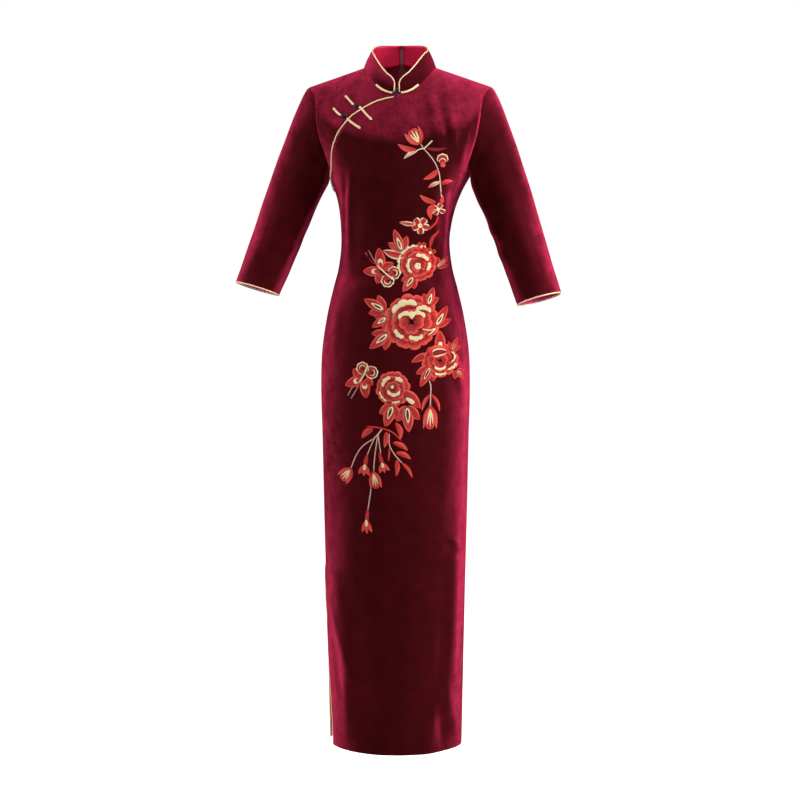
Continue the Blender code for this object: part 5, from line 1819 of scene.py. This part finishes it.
class CHEONGSAM_OT_flowers(CheongsamStep):
    """Stitch the four large flowers, their leaves and the two butterflies"""

    bl_idname = "cheongsam.flowers"
    bl_label = "Flowers and butterflies"

    def build(self):
        art = Stitching()
        self.first_flower(art)
        self.largest_flower(art)
        self.side_flower(art)
        self.lowest_flower(art)
        for parts in BUTTERFLIES:
            art.butterfly(*parts)
        art.finish("embroidery_flowers")

    def first_flower(self, art):
        art.lobed_leaf((0.012, -0.354), (-0.003, -0.311), 0.014)
        art.leaf((0.018, -0.362), (-0.024, -0.352), 0.01, 0.06, RED, RED, CREAM)
        art.lobed_leaf((0.034, -0.402), (0.015, -0.431), 0.014)
        art.lobed_leaf((0.076, -0.386), (0.096, -0.366), 0.008)
        art.frill((0.041, -0.377), (0.0365, 0.0355), (60, 215), (0.9, 1.03), CREAM, CREAM, 9)
        art.peony((0.0426, -0.3783), (0.0345, 0.034), 15, (
            ((0.02, -0.02), 0.62, (20, 110), (0.62, 1.0)),
            ((0.04, -0.04), 0.62, (-40, 12), (0.66, 1.0)),
            ((-0.04, -0.06), 0.62, (130, 235), (0.7, 0.98))), ((-0.02, -0.12), 0.2))
        art.blossom((0.049, -0.345), 0.01, 4, 45, CORAL)
        art.blossom((0.065, -0.357), 0.01, 4, 20, CORAL)

    def largest_flower(self, art):
        for root, tip, half in (
            ((-0.02, -0.467), (-0.061, -0.446), 0.016),
            ((-0.016, -0.48), (-0.044, -0.5), 0.013),
            ((-0.012, -0.511), (-0.049, -0.541), 0.016),
            ((0.062, -0.458), (0.072, -0.424), 0.013),
            ((0.077, -0.499), (0.098, -0.461), 0.014)):
            art.lobed_leaf(root, tip, half)
        art.frill((0.02, -0.502), (0.0375, 0.03), (130, 215), (0.86, 1.06), CREAM, CREAM, 5)
        art.peony((0.031, -0.489), (0.053, 0.0535), 40, (
            ((-0.1, 0.08), 0.78, (62, 158), (0.62, 0.94)),
            ((0.38, 0.16), 0.42, (30, 130), (0.6, 1.0)),
            ((-0.2, 0.02), 0.36, (20, 160), (0.5, 1.0)),
            ((0.22, 0.06), 0.34, (20, 160), (0.5, 1.0)),
            ((-0.22, -0.2), 0.46, (190, 262), (0.55, 0.95)),
            ((0.16, -0.26), 0.46, (225, 318), (0.5, 0.92))), ((0.02, 0.26), 0.12))
        art.line([(0.052, -0.503), (0.064, -0.506), (0.076, -0.503)], 0.001, CREAM, 7)
        art.line([(0.076, -0.503), (0.068, -0.511), (0.062, -0.515)], 0.001, CREAM, 7)

    def side_flower(self, art):
        art.leaf((0.086, -0.548), (0.085, -0.508), 0.012, 0.0, DEEP, RED, CORAL)
        art.satin([(0.084, -0.546), (0.085, -0.538), (0.086, -0.529)], 0.004, CREAM, CREAM,
                  layer=2, shape=petal_shape)
        art.leaf((0.072, -0.556), (0.032, -0.567), 0.009, -0.1, DEEP, RED, CORAL)
        for root, tip, half in (
            ((0.068, -0.576), (0.049, -0.615), 0.014),
            ((0.106, -0.549), (0.118, -0.523), 0.008),
            ((0.113, -0.586), (0.129, -0.606), 0.008)):
            art.lobed_leaf(root, tip, half)
        art.peony((0.085, -0.566), (0.033, 0.033), 70, (
            ((0.0, -0.1), 0.46, (215, 325), (0.6, 1.0)),
            ((0.02, -0.24), 0.62, (235, 305), (0.78, 1.0)),
            ((0.34, -0.06), 0.58, (280, 345), (0.66, 0.96)),
            ((0.4, 0.2), 0.4, (-60, 60), (0.72, 0.98))), ((-0.08, 0.42), 0.02))
        art.satin([(0.098, -0.548), (0.083, -0.547), (0.064, -0.551)], 0.012, RED, RED,
                  CORAL, layer=6, shape=petal_shape)
        art.satin([(0.096, -0.549), (0.083, -0.549), (0.07, -0.552)], 0.008, DEEP, DEEP,
                  CREAM, layer=7, shape=petal_shape)
        art.line([(0.066, -0.602), (0.069, -0.616), (0.0685, -0.634), (0.068, -0.655)],
                 0.001, STALK)
        art.leaf((0.067, -0.63), (0.052, -0.662), 0.004, -0.08)
        art.leaf((0.07, -0.63), (0.086, -0.664), 0.004, 0.08)
        art.tulip((0.068, -0.653), (0.067, -0.699), 0.0125)

    def lowest_flower(self, art):
        art.lobed_leaf((-0.004, -0.65), (-0.018, -0.692), 0.018)
        art.lobed_leaf((0.024, -0.652), (0.027, -0.703), 0.018)
        art.satin([(0.012, -0.624), (0.032, -0.636), (0.05, -0.657)], 0.011, DEEP, RED,
                  CORAL, layer=1)
        art.satin([(0.022, -0.636), (0.03, -0.641), (0.037, -0.647)], 0.0048, CREAM, CREAM,
                  layer=2, shape=petal_shape)
        art.peony((-0.0031, -0.618), (0.033, 0.0345), 10, (
            ((-0.06, 0.1), 0.66, (100, 178), (0.62, 1.0)),
            ((0.2, 0.12), 0.56, (40, 100), (0.5, 1.0)),
            ((0.06, 0.06), 0.62, (200, 330), (0.44, 0.8)),
            ((-0.04, -0.02), 0.8, (188, 246), (0.84, 1.0)),
            ((0.06, -0.08), 0.74, (258, 300), (0.84, 1.0))), ((-0.02, 0.1), 0.1))


class CHEONGSAM_OT_hanging_spray(CheongsamStep):
    """Stitch the twig, the leaves and the bell flowers that hang below the flowers"""

    bl_idname = "cheongsam.hanging_spray"
    bl_label = "Hanging spray"

    def build(self):
        art = Stitching()
        art.line([(-0.057, -0.693), (-0.034, -0.694), (-0.013, -0.699), (0.000, -0.706),
                  (0.013, -0.72)], 0.0014, RED, 1)
        for root, tip, half, bow in (
            ((-0.042, -0.697), (-0.065, -0.716), 0.0072, -0.1),
            ((-0.016, -0.702), (-0.02, -0.733), 0.0062, 0.06),
            ((0.002, -0.684), (0.011, -0.717), 0.0066, 0.12),
            ((-0.003, -0.723), (0.025, -0.739), 0.0062, 0.1),
            ((0.003, -0.743), (0.031, -0.756), 0.0062, 0.1),
            ((0.004, -0.757), (0.003, -0.789), 0.0056, 0.06),
            ((-0.01, -0.733), (-0.012, -0.76), 0.0022, 0.0),
            ((0.014, -0.763), (0.034, -0.793), 0.0044, 0.08),
        ):
            art.leaf(root, tip, half, bow)
        art.line([(-0.025, -0.697), (-0.032, -0.707), (-0.041, -0.716)], 0.0013, STALK, 1)
        for route in (
            ((-0.041, -0.716), (-0.062, -0.731), (-0.076, -0.75), (-0.088, -0.779)),
            ((-0.038, -0.713), (-0.046, -0.729), (-0.054, -0.749)),
            ((-0.033, -0.709), (-0.037, -0.736), (-0.04, -0.76), (-0.041, -0.782)),
            ((-0.032, -0.708), (-0.03, -0.726), (-0.027, -0.745)),
            ((-0.01, -0.705), (-0.01, -0.728), (0.001, -0.748), (0.015, -0.764)),
            ((-0.046, -0.808), (-0.049, -0.832), (-0.053, -0.857)),
        ):
            art.line(route, 0.001, STALK)
        art.tulip((-0.086, -0.778), (-0.108, -0.803), 0.0125)
        art.tulip((-0.042, -0.781), (-0.036, -0.815), 0.011)
        art.trumpet((-0.054, -0.748), (-0.059, -0.771), (-0.061, -0.791), 0.011)
        art.trumpet((-0.03, -0.743), (-0.024, -0.766), (-0.019, -0.783), 0.01)
        art.trumpet((-0.053, -0.856), (-0.056, -0.881), (-0.055, -0.905), 0.01)
        art.finish("embroidery_hanging_spray")


# ---- stage
def aim(thing, place, target):
    thing.location = place
    thing.rotation_euler = (Vector(target) - Vector(place)).to_track_quat("-Z", "Y").to_euler()


def area_light(name, place, target, size, watts):
    lamp = bpy.data.lights.new(name, "AREA")
    lamp.shape = "RECTANGLE"
    lamp.size, lamp.size_y = size
    lamp.energy = watts
    thing = bpy.data.objects.new(name, lamp)
    bpy.context.scene.collection.objects.link(thing)
    aim(thing, place, target)


FLOOR_DROP = 0.15
LENS_MM, SENSOR_MM = 95.4, 36.0
CAMERA_PLACE = (0.3514, -4.1853, -0.15)
CAMERA_TARGET = (0.0, 0.0, -0.6548)
KEY_SHARE = 0.24                # of the lamp power
TOP_SHARE = 0.5
STRIP_SHARES = {"left": 1.2, "right": 0.65}


class CHEONGSAM_OT_stage(CheongsamStep):
    """Set up the pale floor, the soft studio lights and the camera"""

    bl_idname = "cheongsam.stage"
    bl_label = "Stage"

    def build(self):
        scene = bpy.context.scene
        bpy.ops.mesh.primitive_plane_add(size=60.0, location=(0.0, 0.0, HEM_LEVEL - FLOOR_DROP))
        floor = bpy.context.object
        floor.name = "studio_floor"
        paint = Paint("studio_floor_white", Roughness=0.9)
        grain = paint.noise(3.0, 2.0)
        paint.set("Base Color", paint.mix(grain, (0.8, 0.8, 0.8), (0.82, 0.82, 0.82)))
        seen = paint.node("ShaderNodeLightPath").outputs["Is Camera Ray"]
        paint.set("Emission Color", paint.mix(seen, (0.0, 0.0, 0.0), (0.97, 0.97, 0.97)))
        paint.set("Emission Strength", 1.0)
        floor.data.materials.append(paint.material)
        world = bpy.data.worlds.new("studio_air")
        world.use_nodes = True
        nodes, links = world.node_tree.nodes, world.node_tree.links
        sky = nodes["Background"]
        sky.inputs["Color"].default_value = (1.0, 1.0, 1.0, 1.0)
        # The surround looks pure white, and lights the cloth only a little.
        seen = nodes.new("ShaderNodeLightPath").outputs["Is Camera Ray"]
        level = nodes.new("ShaderNodeMapRange")
        level.inputs["To Min"].default_value = settings().air_strength
        links.new(seen, level.inputs["Value"])
        links.new(level.outputs["Result"], sky.inputs["Strength"])
        scene.world = world
        power = settings().lamp_watts
        area_light("key_front", (0.0, -3.6, 0.8), (0.0, 0.0, -0.55), (2.2, 2.0),
                   power * KEY_SHARE)
        area_light("soft_above", (0.0, -0.7, 2.0), (0.0, 0.0, -0.1), (1.6, 0.9),
                   power * TOP_SHARE)
        for hand, side in HANDS:
            area_light(f"strip_{side}", (hand * 2.0, -0.5, 0.0), (0.0, 0.0, -0.3),
                       (0.8, 2.0), power * STRIP_SHARES[side])
        lens = bpy.data.cameras.new("camera")
        lens.lens, lens.sensor_width = LENS_MM, SENSOR_MM
        camera = bpy.data.objects.new("camera", lens)
        scene.collection.objects.link(camera)
        aim(camera, CAMERA_PLACE, CAMERA_TARGET)
        scene.camera = camera
        scene.view_settings.view_transform = "Standard"


# ---- add-on
STEPS = (CHEONGSAM_OT_front, CHEONGSAM_OT_back, CHEONGSAM_OT_sleeves, CHEONGSAM_OT_collar,
         CHEONGSAM_OT_piping, CHEONGSAM_OT_frogs, CHEONGSAM_OT_zip,
         CHEONGSAM_OT_upper_spray, CHEONGSAM_OT_flowers, CHEONGSAM_OT_hanging_spray,
         CHEONGSAM_OT_stage)


class CHEONGSAM_PT_panel(bpy.types.Panel):
    bl_idname = "CHEONGSAM_PT_panel"
    bl_label = "Cheongsam"
    bl_space_type = "VIEW_3D"
    bl_region_type = "UI"
    bl_category = "Cheongsam"

    def draw(self, context):
        for name in CHEONGSAM_PG_settings.__annotations__:
            self.layout.prop(context.scene.cheongsam, name)
        for step in STEPS:
            self.layout.operator(step.bl_idname)


CLASSES = (CHEONGSAM_PG_settings, *STEPS, CHEONGSAM_PT_panel)


def register():
    for item in CLASSES:
        bpy.utils.register_class(item)
    bpy.types.Scene.cheongsam = bpy.props.PointerProperty(type=CHEONGSAM_PG_settings)


def unregister():
    del bpy.types.Scene.cheongsam
    for item in reversed(CLASSES):
        bpy.utils.unregister_class(item)


def main():
    register()
    for step in STEPS:
        group, name = step.bl_idname.split(".")
        getattr(getattr(bpy.ops, group), name)()


if __name__ == "__main__":
    main()
